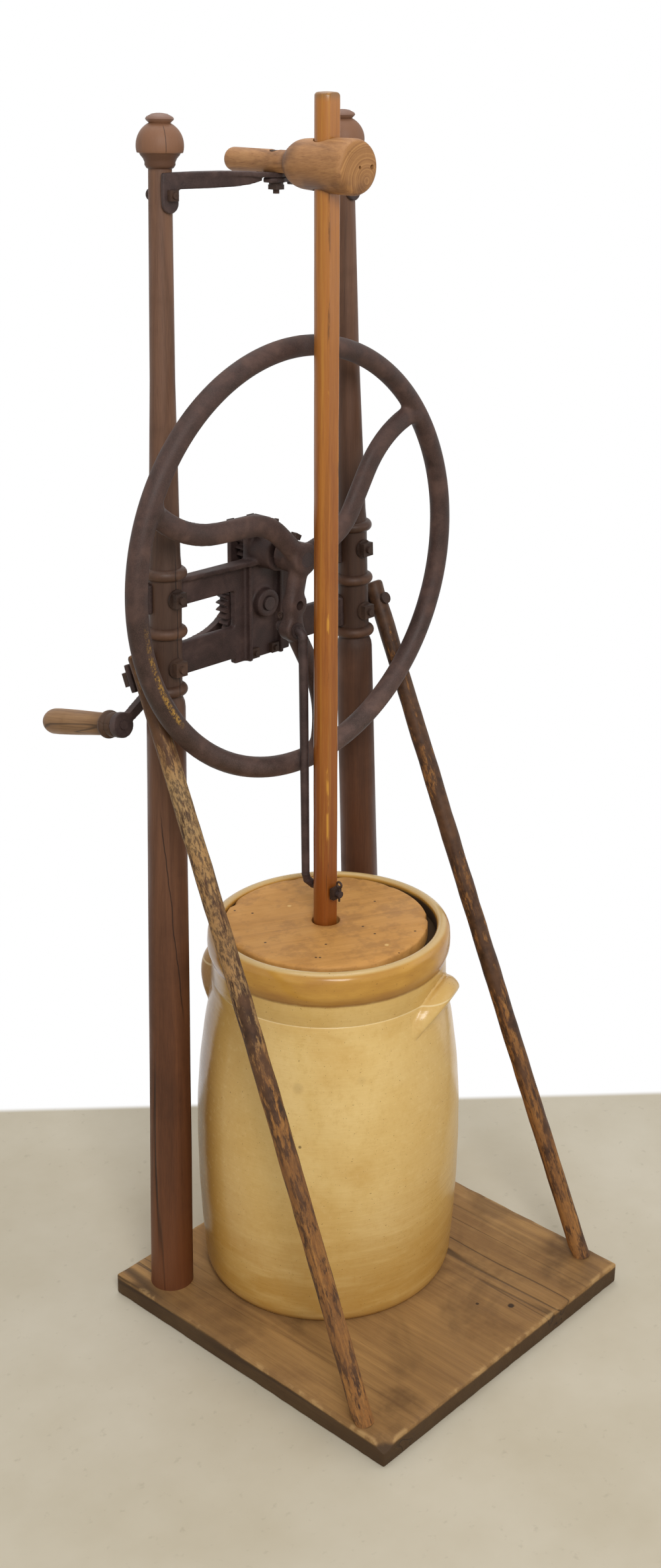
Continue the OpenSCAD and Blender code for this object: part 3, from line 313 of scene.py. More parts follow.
def wheel_iron(place):
    colour, roughness, height = iron_net(place, "#362822", "#503D37", "#735A50")
    # Painted shade: the wheel is darkened above its lowest part, so the bottom stays lighter as if lit from
    # the floor
    painted_shade_above_bottom = between(axes(place)[2], 0.74, 0.90, 0.85)
    from_axis = vectors("SUBTRACT", place, WHEEL_CENTRE)
    x, y, z = axes(from_axis)
    reach = vectors("LENGTH", vectors("MULTIPLY", from_axis, (1, 0, 1)))
    angle = maths("ARCTAN2", z, x, clamp=False)
    stripe = times(line_on(reach, STRIPE_R, 0.0018, 0.0050), between(y, -0.0110, -0.0128))
    ends = times(between(angle, -3.04, -2.72, 1.0, 0.25), between(angle, -2.46, -2.54),
                 between(angle, -3.06, -3.0))
    flecks = noise_of(place, 300.0, 8.0, 0.75)
    gold = ramp(flecks, (0.42, "#5E4526"), (0.52, "#8F6A30"), (0.68, "#C59A48"))
    colour = coated(colour, (painted_shade_above_bottom, "#D3CDCC", "MULTIPLY"),
                    (times(stripe, ends, between(flecks, 0.44, 0.54)), gold))
    surface(colour, roughness, height, *CASTING_BUMP, Metallic=0.1, Specular_IOR_Level=0.3)


# %% [markdown]
# ## Wood
# Every timber here is drawn by one net: long fibres, which are noise drawn out along the grain, a slower
# figure, drying cracks, which are the thin crests of a third noise, and stains. What differs from piece to
# piece is the grain's direction, the colours, and what wear has done.

# %% Wood net
ALONG_Z, ALONG_Y = (1.0, 1.0, 0.035), (1.0, 0.035, 1.0)


def wood_net(place, along, colours, cracks=0.5, stain=0.4, fibre_mm=1.1, turn=(0, 0, 0), split_mm=1.0,
             figured=1.0):
    """Colour and height of old timber, and its clouds. colours are dark, body, pale and crack."""
    dark, body, pale, crack = colours
    grain = stretched(place, along, turn)
    fibres = noise_of(grain, 1000 / fibre_mm, 4.0, 0.6)
    figure = noise_of(grain, 75.0, 5.0, 0.6, 0.8)
    slow = noise_of(grain, 22.0, 2.0, 0.5, 0.5)
    clouds = noise_of(place, 9.0, 5.0, 0.6)
    broken = between(noise_of(grain, 12.0, 1.0), 0.5, 0.62)
    split = times(line_on(slow, 0.5, 0.0, 0.016 * split_mm), broken, cracks)
    colour = coated(
        body, (figured, ramp(figure, (0.28, dark), (0.5, body), (0.75, pale))),
        (between(fibres, 0.35, 0.7, 0.4 * figured), pale),
        (between(fibres, 0.42, 0.26, 0.45 * figured), dark),
        (between(clouds, 0.48, 0.7, stain), dark),
        (split, crack))
    return colour, minus(times(fibres, 0.35), split), clouds


def wood_surface(colour, clouds, rough, height, strength, distance, gloss=0.3, **shine):
    """Closes a wood's net. rough is the roughness in the clouds' low and high places."""
    low, high = rough
    surface(colour, between(clouds, 0.3, 0.7, high, low), height, strength, distance,
            Specular_IOR_Level=gloss, **shine)


# %% [markdown]
# ### Posts and braces
# The posts are turned hardwood under a dark, dry varnish with long drying cracks. It is worn off on the
# proud beads, it goes redder towards the foot, and it is browner on the finials, where hands held it, and
# darker in the cove under each ball. Painted shade darkens both posts round the iron frame; the right post
# is darker below its top, partly in its own colour and partly by painted shade. The left finial has a fine
# split below its cap, and two long cracks run up the front of the left shaft. The braces are beech: their
# dark paint has gone in streaks along the stick, most of all above the middle of the left one, where hands
# and the wheel's dust rubbed it.

# %% Post finish
BEADS_Z = (0.858, 0.933, 1.008)
LEFT_FINIAL, LEFT_SHAFT = (-0.1571, 0.2052, 1.53), (-0.15825, 0.1875, 0.62)
SHAFT_CRACKS = ((0.0155, 0.088, 0.40, 0.72), (-0.009, 0.02, 0.83, 1.06))  # offset, lean, low and high end


def post_wood(place):
    colour, height, clouds = wood_net(place, ALONG_Z, ("#463023", "#674938", "#836048", "#150D09"),
                                      0.95, 0.4, split_mm=1.8, figured=0.6)
    x, _, z = axes(place)
    colour = coated(
        tinted(colour, z, (1.15, 0.25, 1.0, "#E2C2A2", "MULTIPLY"), (0.22, 0.04, 0.5, "#703F1F")),
        # Painted shade: both posts are darkened round the iron frame, between and beside the beads
        (times(*within(z, 0.80, 0.86, 1.03, 1.16), 0.9), "#B0B4BC", "MULTIPLY"),
        # The right post is darker below its top: partly its own colour, partly painted shade of the wheel
        # and dasher
        (times(between(x, -0.05, 0.05, 0.9), between(z, 1.40, 1.20)), "#D6CEC9", "MULTIPLY"),
        (between(z, 1.497, 1.505, 0.75), "#855E45"),
        (times(*within(z, 1.496, 1.501, 1.516, 1.520), 0.75), "#492F22"),
        (between(z, 1.553, 1.559, 0.7), "#7B5F53"))
    handled = between(clouds, 0.42, 0.62, 0.6, 0.1)
    for bead in BEADS_Z:
        colour = coated(colour, (times(line_on(z, bead, 0.002, 0.008), handled), "#6C4A34"))
    split = times(line_on(toward(place, LEFT_FINIAL, (0.894, -0.448, 0)), 0, 0.0002, 0.0006),
                  between(toward(place, LEFT_FINIAL, (-0.448, -0.894, 0)), 0.0, 0.005),
                  *within(z, 1.517, 1.522, 1.548, 1.552))
    sway = times(noise_of(place, 25.0, 3.0), 0.005)
    front = between(toward(place, LEFT_SHAFT, (-0.662, -0.749, 0)), 0.0, 0.005)
    for offset, lean, low, high in SHAFT_CRACKS:
        gap = plus(toward(place, LEFT_SHAFT, (0.749, -0.662, lean)), sway, offset)
        split = most(split, times(line_on(gap, 0, 0.0003, 0.0010), front,
                                  *within(z, low, low + 0.05, high - 0.05, high)))
    colour = coated(colour, (times(split, 0.85), "#1F120C"))
    wood_surface(colour, clouds, (0.42, 0.62), height, 0.5, 0.0012)


# %% Brace finish
BRACE_LEAN = math.radians(23.9)


def brace_wood(place):
    turn = (BRACE_LEAN, 0, 0)
    colour, height, clouds = wood_net(place, ALONG_Z, ("#6F4524", "#8F6033", "#B17E43", "#2A190C"),
                                      0.4, 0.3, 1.1, turn)
    x, _, z = axes(place)
    left = between(x, 0.1, -0.1)
    streak = noise_of(upright(place, 0.22, turn), 150.0, 9.0, 0.72)
    patch = noise_of(upright(place, 0.4, turn), 26.0, 4.0, 0.6)
    fleck = noise_of(upright(place, 0.4, turn), 270.0, 6.0, 0.75)
    wear = plus(times(patch, 0.42), times(streak, 0.58), times(left, between(z, 0.45, 0.60, 0.050)),
                between(z, 0.40, 0.10, 0.03), times(left, 0.015))
    wear = minus(wear, between(z, 0.76, 0.88, 0.10))
    gold = times(left, times(*within(z, 0.40, 0.54, 0.84, 0.94)))
    bare = coated(colour, (times(gold, between(clouds, 0.4, 0.6, 0.9, 0.5)), "#A98A5E"),
                  (times(between(fleck, 0.555, 0.42, 0.8), between(z, 0.34, 0.50, 1.0, 0.4)), "#46352A"))
    paint = ramp(noise_of(place, 90.0, 5.0), (0.3, "#332014"), (0.7, "#583C28"))
    rub = between(noise_of(place, 14.0, 3.0), 0.45, 0.62, 0.35)
    colour = coated(paint, (between(wear, 0.495, 0.560), bare), (rub, "#6C492E"))
    surface(colour, between(wear, 0.4, 0.6, 0.7, 0.5), mixed(0.4, height, streak), 0.6, 0.0012,
            Specular_IOR_Level=0.25)


# %% [markdown]
# ### Board, dasher, guide, grip, lid and foot
# The board is rough pine, a little darker at the front, with painted shade at its left, stained in spots,
# dark on its sides and worn pale along its top edges. The dasher is varnished, red brown low down and
# golden towards the top, with scuffs and chips down the edges of its planed front, and patches of painted
# shade down its right side. Guide, grip and lid are bare wood that has been handled for years.

# %% Board finish
BOARD_TOP = 0.028
BOARD_W, BOARD_D = 0.475, 0.488
BOARD_STAINS = ((-0.215, -0.236), (0.178, -0.205), (-0.176, -0.21), (0.222, -0.178))
BOARD_HOLES = (((0.0694, -0.1928), 0.0055, 0.9), ((0.0425, -0.1572), 0.003, 0.8))  # place, reach, darkness
RUBBED = 0.007


def board_wood(place):
    colour, height, clouds = wood_net(place, ALONG_Y, ("#715032", "#9C7749", "#C0955C", "#2D1F13"),
                                      0.7, 0.45, 1.6, split_mm=1.4, figured=0.55)
    x, y, z = axes(place)
    to_right = toward(place, (0, 0, 0), (0.8, -0.1, 0))
    dirt = noise_of(place, 6.5, 4.0, 0.6, 0.8)
    stains = spots_at(place, at_height(BOARD_TOP, BOARD_STAINS), 0.046)
    colour = coated(
        # Painted shade: the board is darkened towards its left, as in the crock's shadow
        colour, (between(to_right, 0.10, -0.20, 0.15), "#D8CCC0", "MULTIPLY"),
        (between(y, -0.10, -0.20, 0.8), "#DDD8D4", "MULTIPLY"),
        (between(dirt, 0.50, 0.68, 0.4), "#523A22"),
        (times(stains, between(clouds, 0.40, 0.58, 0.5, 0.05)), "#4A321B"))
    for hole, reach, dark in BOARD_HOLES:
        spot = spots_at(place, at_height(BOARD_TOP, [hole]), reach)
        colour = coated(colour, (times(spot, dark), "#23160C"))
    edge = most(minus(maths("ABSOLUTE", x), BOARD_W / 2 - RUBBED),
                minus(maths("ABSOLUTE", y), BOARD_D / 2 - RUBBED))
    edge = times(between(edge, 0.0, 0.005), between(noise_of(place, 40.0, 4.0), 0.47, 0.62, 0.45),
                 between(z, BOARD_TOP - 0.006, BOARD_TOP - 0.003))
    colour = coated(colour, (edge, "#CAA46D"),
                    (between(z, BOARD_TOP - 0.003, BOARD_TOP - 0.007, 0.85), "#372718"))
    wood_surface(colour, clouds, (0.55, 0.75), height, 0.8, 0.0016, 0.25)


# %% Dasher finish
FLAT_EDGE_X = 0.0087


def dasher_wood(place):
    colour, height, clouds = wood_net(place, ALONG_Z, ("#7B3E11", "#95541A", "#B17028", "#331D07"),
                                      0.5, 0.25, split_mm=0.8)
    x, y, z = axes(place)
    vein = noise_of(upright(place, 0.02), 170.0, 6.0, 0.65)
    scuff = noise_of(upright(place, 0.10), 90.0, 8.0, 0.72)
    chip = noise_of(upright(place, 0.2), 45.0, 5.0)
    edge = times(line_on(maths("ABSOLUTE", x), FLAT_EDGE_X, 0.0004, 0.0026), between(y, 0.075, 0.071))
    colour = tinted(colour, z, (0.95, 0.55, 0.7, "#814012"), (1.0, 1.45, 0.6, "#AF722D"),
                    (1.578, 1.590, 0.7, "#775A34"))
    colour = coated(
        tinted(colour, vein, (0.52, 0.68, 0.35, "#C08A34"), (0.46, 0.32, 0.4, "#6B3A12")),
        (times(edge, between(scuff, 0.56, 0.63, 0.6)), "#3A200A"),
        (times(edge, between(chip, 0.63, 0.68, 0.8)), "#D49939"),
        # Painted shade: darker patches down the dasher's right side, broken up like scuffs
        (times(between(x, 0.009, 0.013), between(scuff, 0.56, 0.66, 0.6)), "#41260E"))
    wood_surface(colour, clouds, (0.32, 0.48), height, 0.3, 0.0008, 0.35, Coat_Weight=0.15,
                 Coat_Roughness=0.2)


# %% Guide, grip and foot finishes
PITH = (0.012, 0, 1.488)


def guide_wood(place):
    colour, height, clouds = wood_net(place, ALONG_Y, ("#795234", "#A17248", "#BF8F5D", "#2C1A0E"), 0.6,
                                      0.3, 1.2, (math.radians(5), 0, math.radians(9)))
    _, y, z = axes(place)
    from_pith = vectors("DISTANCE", vectors("MULTIPLY", place, (1, 0, 1)), PITH)
    rings = noise_of(add("CombineXYZ", {0: from_pith}).outputs[0], 420.0, 3.0)
    end_grain = mixed(between(rings, 0.38, 0.66), "#8E6137", "#B68550")
    # Darker in patches on the drum's rear and underside and the front of the tail, less far back on the tail
    darker_rear_and_underside = times(most(between(y, 0.085, 0.140), between(z, 1.500, 1.475)),
                  between(noise_of(place, 24.0, 4.0), 0.40, 0.62, 0.75, 0.1),
                  between(y, 0.180, 0.150, 1.0, 0.12))
    colour = coated(colour, (between(y, 0.0325, 0.0305, 0.8), end_grain), (darker_rear_and_underside, "#533423"))
    wood_surface(colour, clouds, (0.48, 0.66), height, 0.5, 0.001)


def grip_wood(place):
    colour, height, clouds = wood_net(place, ALONG_Y, ("#65472C", "#876442", "#A37E56", "#291B0F"), 0.7,
                                      0.4, 1.2, (math.radians(12), 0, 0))
    y = axes(place)[1]
    colour = tinted(colour, y, (0.278, 0.272, 0.85, "#3A281F"), (0.290, 0.275, 0.4, "#493325"))
    wood_surface(colour, clouds, (0.45, 0.62), height, 0.5, 0.0008)


def foot_wood(place):
    colour, height, clouds = wood_net(place, (0.4, 0.4, 1.0), ("#9A7A50", "#B8976A", "#CDB083", "#57422A"),
                                      0.2)
    wood_surface(colour, clouds, (0.5, 0.7), height, 0.4, 0.001, 0.5)


# %% Lid finish
LID_NAILS = ((-0.0513, 0.0323), (0.0137, 0.0062), (0.0185, 0.0319), (-0.0034, -0.0518), (0.0552, -0.0274),
             (-0.053, 0.1664), (-0.0636, 0.1896), (0.0847, 0.0712), (-0.0861, 0.0163), (-0.0826, 0.0126),
             (0.062, 0.136), (-0.101, 0.093))
LID_CUTS = ((0.0007, -0.0265), (-0.004, 0.146))
LID_TOP = 0.518


def lid_wood(place):
    colour, height, clouds = wood_net(place, ALONG_Y, ("#A47035", "#CA924D", "#DDA862", "#4E351A"),
                                      0.3, 0.3, 1.6, (0, 0, math.radians(-62)), figured=0.4)
    stain = between(noise_of(place, 30.0, 5.0, 0.65), 0.46, 0.64, 0.45)
    nails = spots_at(place, at_height(LID_TOP, LID_NAILS), 0.0021)
    cuts = spots_at(place, at_height(LID_TOP, LID_CUTS), 0.0035)
    colour = coated(colour, (stain, "#96693A"), (times(nails, 0.9), "#2D1B0E"),
                    (times(cuts, 0.7), "#ECC580"))
    wood_surface(colour, clouds, (0.5, 0.66), minus(height, nails), 0.5, 0.0012)


# %% [markdown]
# ### Stoneware
# The crock is stoneware under a buff glaze: glass over clay, so it has a sharp highlight. The glaze went
# amber brown where it ran thin, on the rim's band and at the foot. Down its left and right sides, as the
# camera sees them, it goes amber and darker: partly the glaze's amber, partly painted shade. The band's
# lower edge is soft and wavy, with a dark line of painted shade in the crease below it, the scored line
# below the neck carries a pale painted highlight, and the clay shows specks. The inside is dark.

# %% Stoneware glaze
CROCK_AXIS = Vector((0.0005, 0.076, 0))
CROCK_H, SCORE_S = 0.492, 0.419
CROCK_TOP = BOARD_TOP + CROCK_H
GLAZE_SPECKS = ((-0.1059, -0.063, 0.4084), (-0.0984, -0.0684, 0.4082), (-0.0954, -0.0704, 0.3865),
                (-0.0933, -0.0718, 0.3861), (-0.0689, -0.0846, 0.4562), (-0.148, -0.016, 0.29),
                (-0.03, -0.0975, 0.335))
GLAZE_SMUDGES = ((-0.0917, -0.0727, 0.3776), (-0.150, -0.012, 0.3686))


def stoneware(place):
    z = axes(place)[2]
    flush = noise_of(place, 7.5, 4.0, 0.55, 0.4)
    mottle = noise_of(place, 110.0, 6.0, 0.7)
    streaks = noise_of(upright(place, 6.0), 9.0, 3.0)
    to_left = toward(place, CROCK_AXIS, (-0.6556, 0.7551, 0))
    # Amber and darker towards the crock's left and right as the camera sees them: partly the glaze's amber,
    # partly painted shade
    colour = tinted(ramp(flush, (0.3, "#E8C989"), (0.5, "#E1BF7B"), (0.72, "#D3AB63")), to_left,
                    (0.02, 0.165, 0.55, "#B58336"), (-0.04, -0.16, 0.5, "#C49A52"),
                    (0.125, 0.172, 0.75, "#8F5E22"))
    colour = coated(
        tinted(colour, mottle, (0.50, 0.66, 0.22, "#C59A52"), (0.46, 0.34, 0.18, "#EBCF92")),
        (times(between(z, 0.26, 0.04), between(streaks, 0.25, 0.6, 0.75, 0.3)), "#B58538"),
        (times(between(z, 0.435, 0.462), 0.35), "#C59B4F"))
    runs = times(noise_of(upright(place, 0.3), 48.0, 3.0), 0.009)
    band = times(between(plus(z, runs), CROCK_TOP - 0.041, CROCK_TOP - 0.036),
                 between(z, CROCK_TOP - 0.0005, CROCK_TOP - 0.004))
    amber = coated(
        ramp(noise_of(upright(place, 3.0), 22.0, 4.0, 0.5),
             (0.30, "#C5923E"), (0.5, "#B98636"), (0.72, "#AB7630")),
        (between(z, CROCK_TOP - 0.026, CROCK_TOP - 0.040, 0.5), "#8A5A28"))
    reach = vectors("DISTANCE", vectors("MULTIPLY", place, (1, 1, 0)), CROCK_AXIS)
    inside = times(between(reach, 0.1450, 0.1435),
                   between(z, CROCK_TOP - 0.003, CROCK_TOP - 0.009, 0.93))
    colour = coated(
        colour, (times(band, 0.9), amber),
        # Painted shade: a dark line in the crease under the rim's band
        (line_on(z, CROCK_TOP - 0.0425, 0.0005, 0.0035, 0.55), "#7E5527"),
        (between(z, CROCK_TOP - 0.003, CROCK_TOP - 0.0008, 0.45), "#CFB58A"),
        # Painted highlight: a pale line along the scored line, where light catches it
        (line_on(z, BOARD_TOP + SCORE_S, 0.0004, 0.0012, 0.55), "#EFDAA8"),
        (between(noise_of(place, 420.0, 1.0), 0.735, 0.765, 0.6), "#704F28"),
        (times(spots_at(place, GLAZE_SPECKS, 0.0026), 0.7), "#503920"),
        (times(spots_at(place, GLAZE_SMUDGES, 0.012), 0.25), "#8D6B3C"),
        (inside, "#1C130D"))
    rough = most(between(flush, 0.3, 0.7, 0.27, 0.17), inside)
    surface(colour, rough, noise_of(upright(place, 9.0), 26.0, 2.0), 0.3, 0.0012, IOR=1.5,
            Specular_IOR_Level=0.32)


# %% Give the CAD nodes their finishes
# Each of these functions has the name of the slot that it is the finish of
FINISH_OF_SLOT = {draw.__name__: new_material(name, draw) for draw, name in (
    (cast_iron, "cast_iron_brown_rust"), (wrought_iron, "wrought_iron_dark"),
    (iron_hardware, "wrought_iron_rusty"), (post_wood, "walnut_turned_dark_varnish"),
    (brace_wood, "beech_worn_dark_paint"), (board_wood, "pine_floor_board_stained"),
    (dasher_wood, "ash_orange_varnish"), (guide_wood, "maple_bare_darker_rear_and_underside"),
    (grip_wood, "beech_bare_handled"), (lid_wood, "pine_lid_scrubbed"), (foot_wood, "pine_bare_pale"),
    (stoneware, "stoneware_buff_glaze"),
)}
SLOT_OF_NODE = {part["node"]: part["material_slot"] for part in frame["record"]["subparts"]}
for name, piece in nodes.items():
    piece.data.materials.clear()
    piece.data.materials.append(FINISH_OF_SLOT[SLOT_OF_NODE[name]])
print("finishes:", len(FINISH_OF_SLOT))

# %% [markdown]
# ## Helpers for pieces
# A piece starts as a bmesh in its own upright place, is moved to where the CAD has it, and becomes an
# object at the origin. The finish goes on last, and the CAD nodes that it stands for are hidden.

# %% Making an object from a bmesh
SHARP = math.radians(42)
DOUBLE = 1e-6
ORIGIN = (0, 0, 0)


def object_from(bm, name):
    """Closes a bmesh into an object in the scene."""
    mesh = bpy.data.meshes.new(name)
    bm.to_mesh(mesh)
    bm.free()
    return put_in_scene(name, mesh)


def discard(made):
    """Removes an object and its mesh."""
    mesh = made.data
    bpy.data.objects.remove(made)
    bpy.data.meshes.remove(mesh)


def piece_from(bm, name, body, slot_name, stands_for, material=None, place=None, sharp=SHARP):
    """Turns a bmesh into a finished piece that rides on a body."""
    bmesh.ops.remove_doubles(bm, verts=bm.verts, dist=DOUBLE)
    bmesh.ops.recalc_face_normals(bm, faces=bm.faces)
    if place is not None:
        bmesh.ops.transform(bm, matrix=place, verts=bm.verts)
    made = object_from(bm, name)
    made.data.shade_smooth()
    made.data.set_sharp_from_angle(angle=sharp)
    made.data.materials.append(material or FINISH_OF_SLOT[slot_name])
    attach(made, body)
    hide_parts(*stands_for)
    print(name, len(made.data.polygons), "faces")
    return made


def turned(outline, steps):
    """A bmesh of an outline of (radius, height) points that was spun about Z, as a lathe does."""
    bm = bmesh.new()
    ring = [bm.verts.new((r, 0, z)) for r, z in outline]
    edges = [bm.edges.new(pair) for pair in zip(ring, ring[1:])]
    bmesh.ops.spin(bm, geom=ring + edges, cent=ORIGIN, axis=(0, 0, 1), angle=math.tau, steps=steps,
                   use_merge=True)
    bmesh.ops.remove_doubles(bm, verts=bm.verts, dist=DOUBLE)
    return bm


def near(r, s, *steps):
    """Points of an outline, each so much out and up from the same place."""
    return [(r + out, s + rise) for out, rise in steps]


def softened(outline, reach):
    """Rounds an outline's corners: each inner point becomes three, the outer two at most reach away."""
    out = [outline[0]]
    for before, here, after in zip(outline, outline[1:], outline[2:]):
        here = Vector(here)
        to_before, to_after = Vector(before) - here, Vector(after) - here
        a = here + to_before.normalized() * min(reach, to_before.length / 3)
        b = here + to_after.normalized() * min(reach, to_after.length / 3)
        out += [tuple(a), tuple((a + b) / 4 + here / 2), tuple(b)]
    return out + [outline[-1]]


def arc_points(centre, r_x, r_y, start, end, count):
    """Points on an elliptic arc, from start to end in degrees."""
    angles = [math.radians(start + (end - start) * i / count) for i in range(count + 1)]
    return [(centre[0] + r_x * math.cos(a), centre[1] + r_y * math.sin(a)) for a in angles]


def worn(bm, depth, size, keep=lambda co: True):
    """Moves each vertex that keep allows a little along its normal by smooth noise, as wear does."""
    bm.normal_update()
    for vert in bm.verts:
        if keep(vert.co):
            vert.co += vert.normal * noise.noise(vert.co / size) * depth


# %% Placing, turning and simple solids


def upright_to(axis, foot):
    """The place of a piece whose own Z becomes axis and whose origin becomes foot."""
    return Matrix.Translation(foot) @ Vector(axis).to_track_quat("Z", "Y").to_matrix().to_4x4()


def mirrored(side, vector):
    """The same vector on the right, or with side -1 on the left."""
    return Vector((side * vector.x, vector.y, vector.z))


def rotated(bm, verts, degrees, axis):
    bmesh.ops.rotate(bm, cent=ORIGIN, matrix=Matrix.Rotation(math.radians(degrees), 3, axis), verts=verts)


def bar(bm, start, end, r, segments=40):
    """A closed round bar between two points."""
    start, end = Vector(start), Vector(end)
    middle = upright_to(end - start, (start + end) / 2)
    bmesh.ops.create_cone(bm, cap_ends=True, segments=segments, radius1=r, radius2=r,
                          depth=(end - start).length, matrix=middle)


def block(bm, size, middle):
    """A box of this size round its middle. Its vertices come back."""
    verts = bmesh.ops.create_cube(bm, size=1.0)["verts"]
    bmesh.ops.scale(bm, vec=size, verts=verts)
    bmesh.ops.translate(bm, vec=middle, verts=verts)
    return verts


# %% Cutting and melting


def apply_modifiers(piece):
    """Puts what the modifiers show into the piece's own mesh."""
    graph = bpy.context.evaluated_depsgraph_get()
    shown = bpy.data.meshes.new_from_object(piece.evaluated_get(graph))
    old = piece.data
    piece.modifiers.clear()
    piece.data = shown
    shown.name = old.name
    bpy.data.meshes.remove(old)
    shown.shade_smooth()
    shown.set_sharp_from_angle(angle=SHARP)


def cut_by(piece, cutter_bm):
    """Takes a bmesh of cutters away from a piece for good."""
    bmesh.ops.recalc_face_normals(cutter_bm, faces=cutter_bm.faces)
    cutter = object_from(cutter_bm, "cutter")
    cut = piece.modifiers.new("cut", "BOOLEAN")
    cut.object, cut.operation, cut.solver = cutter, "DIFFERENCE", "EXACT"
    apply_modifiers(piece)
    discard(cutter)


def melted(bm, voxel, passes):
    """One skin round overlapping solids, its corners melted into fillets, as a new bmesh."""
    bmesh.ops.recalc_face_normals(bm, faces=bm.faces)
    holder = object_from(bm, "melting")
    skin = holder.modifiers.new("skin", "REMESH")
    skin.mode, skin.voxel_size = "VOXEL", voxel
    melt = holder.modifiers.new("melt", "SMOOTH")
    melt.factor, melt.iterations = 0.5, passes
    apply_modifiers(holder)
    out = bmesh.new()
    out.from_mesh(holder.data)
    discard(holder)
    return out


def recast(node, body, voxel, passes, bores=()):
    """A CAD node as a casting: a merged copy of its mesh, melted, with its bores cut again."""
    bm = bmesh.new()
    bm.from_mesh(nodes[node].data)
    bmesh.ops.transform(bm, matrix=nodes[node].matrix_world, verts=bm.verts)
    bmesh.ops.remove_doubles(bm, verts=bm.verts, dist=DOUBLE)
    made = piece_from(melted(bm, voxel, passes), node + "_cast", body, SLOT_OF_NODE[node], [node])
    if bores:
        holes = bmesh.new()
        for start, end, r in bores:
            bar(holes, start, end, r)
        cut_by(made, holes)


# %% [markdown]
# ## Posts
# Each post is one turning: a long taper, three beads where the iron frame sits between them, and a ball
# finial. The outline is spun about its own axis and then leant as the CAD leans it. The long drying cracks
# are in the finish.

# %% Posts
POST_FOOT = Vector((0.192, 0.182, BOARD_TOP))
POST_LEAN = Vector((-0.036, 0.024, 1.537))
POST_FOOT_R, POST_MID_R, POST_WAIST_R, POST_TOP_R = 0.028, 0.0245, 0.0205, 0.0142
BEAD_LOW, BEAD_PITCH, BEAD_R, BEAD_HALF = 0.830, 0.075, 0.0278, 0.0075
BALL_R, BALL_H, CAP_R, CAP_H = 0.0284, 0.034, 0.017, 0.012
BALL_FROM, BALL_TO, BALL_STEPS = math.radians(-15), math.radians(62), 12
COVE_H, NECK_H = 0.013, 0.005
CAP_S = 1.537 - CAP_H
BALL_S = CAP_S - BALL_H
NECK_S = BALL_S - COVE_H - NECK_H
NECK_R = POST_TOP_R + 0.0042


def post_outline():
    outline = [(0, -0.001), (POST_FOOT_R + 0.0004, -0.001), (POST_FOOT_R, 0.004)]
    outline += [(POST_FOOT_R + (POST_MID_R - POST_FOOT_R) * i / 8, (BEAD_LOW - 0.024) * i / 8)
                for i in range(1, 9)]
    outline += [(POST_MID_R - 0.0008, BEAD_LOW - 0.017), (POST_WAIST_R + 0.001, BEAD_LOW - 0.011)]
    for i in range(3):
        middle = BEAD_LOW + i * BEAD_PITCH
        outline += arc_points((BEAD_R - BEAD_HALF, middle), BEAD_HALF, BEAD_HALF, -86, 86, 8)
    high = BEAD_LOW + 2 * BEAD_PITCH
    outline += [(POST_WAIST_R - 0.0006, high + 0.022), ((POST_WAIST_R + POST_TOP_R) / 2, high + 0.136),
                (POST_TOP_R + 0.0012, high + 0.240), (POST_TOP_R, NECK_S - 0.001),
                (POST_TOP_R + 0.002, NECK_S), (NECK_R, NECK_S + NECK_H * 0.7)]
    outline += near(NECK_R, NECK_S + NECK_H, (0, 0.002), (0.0018, 0.0060))
    outline += near(BALL_R, BALL_S, (-0.0048, -0.0028), (-0.0040, -0.0008), (-0.0014, -0.0004))
    for i in range(BALL_STEPS + 1):
        a = BALL_FROM + (BALL_TO - BALL_FROM) * i / BALL_STEPS
        rise = (math.sin(a) - math.sin(BALL_FROM)) / (math.sin(BALL_TO) - math.sin(BALL_FROM))
        outline.append((BALL_R * math.cos(a), BALL_S + BALL_H * rise))
    cap = ((CAP_R - 0.0045, 0), (CAP_R - 0.001, 0.28), (CAP_R, 0.42), (CAP_R - 0.0015, 0.62),
           (CAP_R * 0.55, 0.9), (CAP_R * 0.25, 0.98), (0, 1))
    return outline + [(r, CAP_S + CAP_H * rise) for r, rise in cap]


for side, name in ((-1, "left_post"), (1, "right_post")):
    bm = turned(post_outline(), 64)
    worn(bm, 0.0005, 0.03, lambda co: co.z > 0.01)
    piece_from(bm, name + "_turned", "frame", "post_wood", [name],
               place=upright_to(mirrored(side, POST_LEAN), mirrored(side, POST_FOOT)))

# %% [markdown]
# ## Braces
# The braces are plain round sticks. Real ones are never dead straight, so each is a long cylinder cut into
# rings, which is bowed a few millimetres and made a little uneven. The left one bows most.

# %% Braces
BRACE_R = 0.0123
BRACES = {  # foot, top and bow
    "left_brace": (Vector((-0.2205, -0.195, BOARD_TOP)), Vector((-0.216, 0.198, BOARD_TOP + 0.885)), 0.005),
    "right_brace": (Vector((0.2205, -0.195, BOARD_TOP)), Vector((0.224, 0.207, BOARD_TOP + 0.885)), -0.002),
}
BRACE_RINGS = 60

for name, (foot, top, bow) in BRACES.items():
    length = (top - foot).length
    outline = [(0, -0.004), (BRACE_R, -0.004)]
    outline += [(BRACE_R, length * i / BRACE_RINGS) for i in range(1, BRACE_RINGS)]
    outline += near(BRACE_R, length, (0, -0.004), (-0.0012, -0.0012), (-0.004, 0)) + [(0, length)]
    bm = turned(outline, 28)
    worn(bm, 0.0009, 0.028)
    bmesh.ops.transform(bm, matrix=upright_to(top - foot, foot), verts=bm.verts)
    for vert in bm.verts:
        along = min(max((vert.co.z - foot.z) / (top.z - foot.z), 0), 1)
        vert.co.x += bow * math.sin(math.pi * along) * (1 - along * 0.2)
        vert.co.z = max(vert.co.z, BOARD_TOP)
    piece_from(bm, name + "_stick", "frame", "brace_wood", [name])

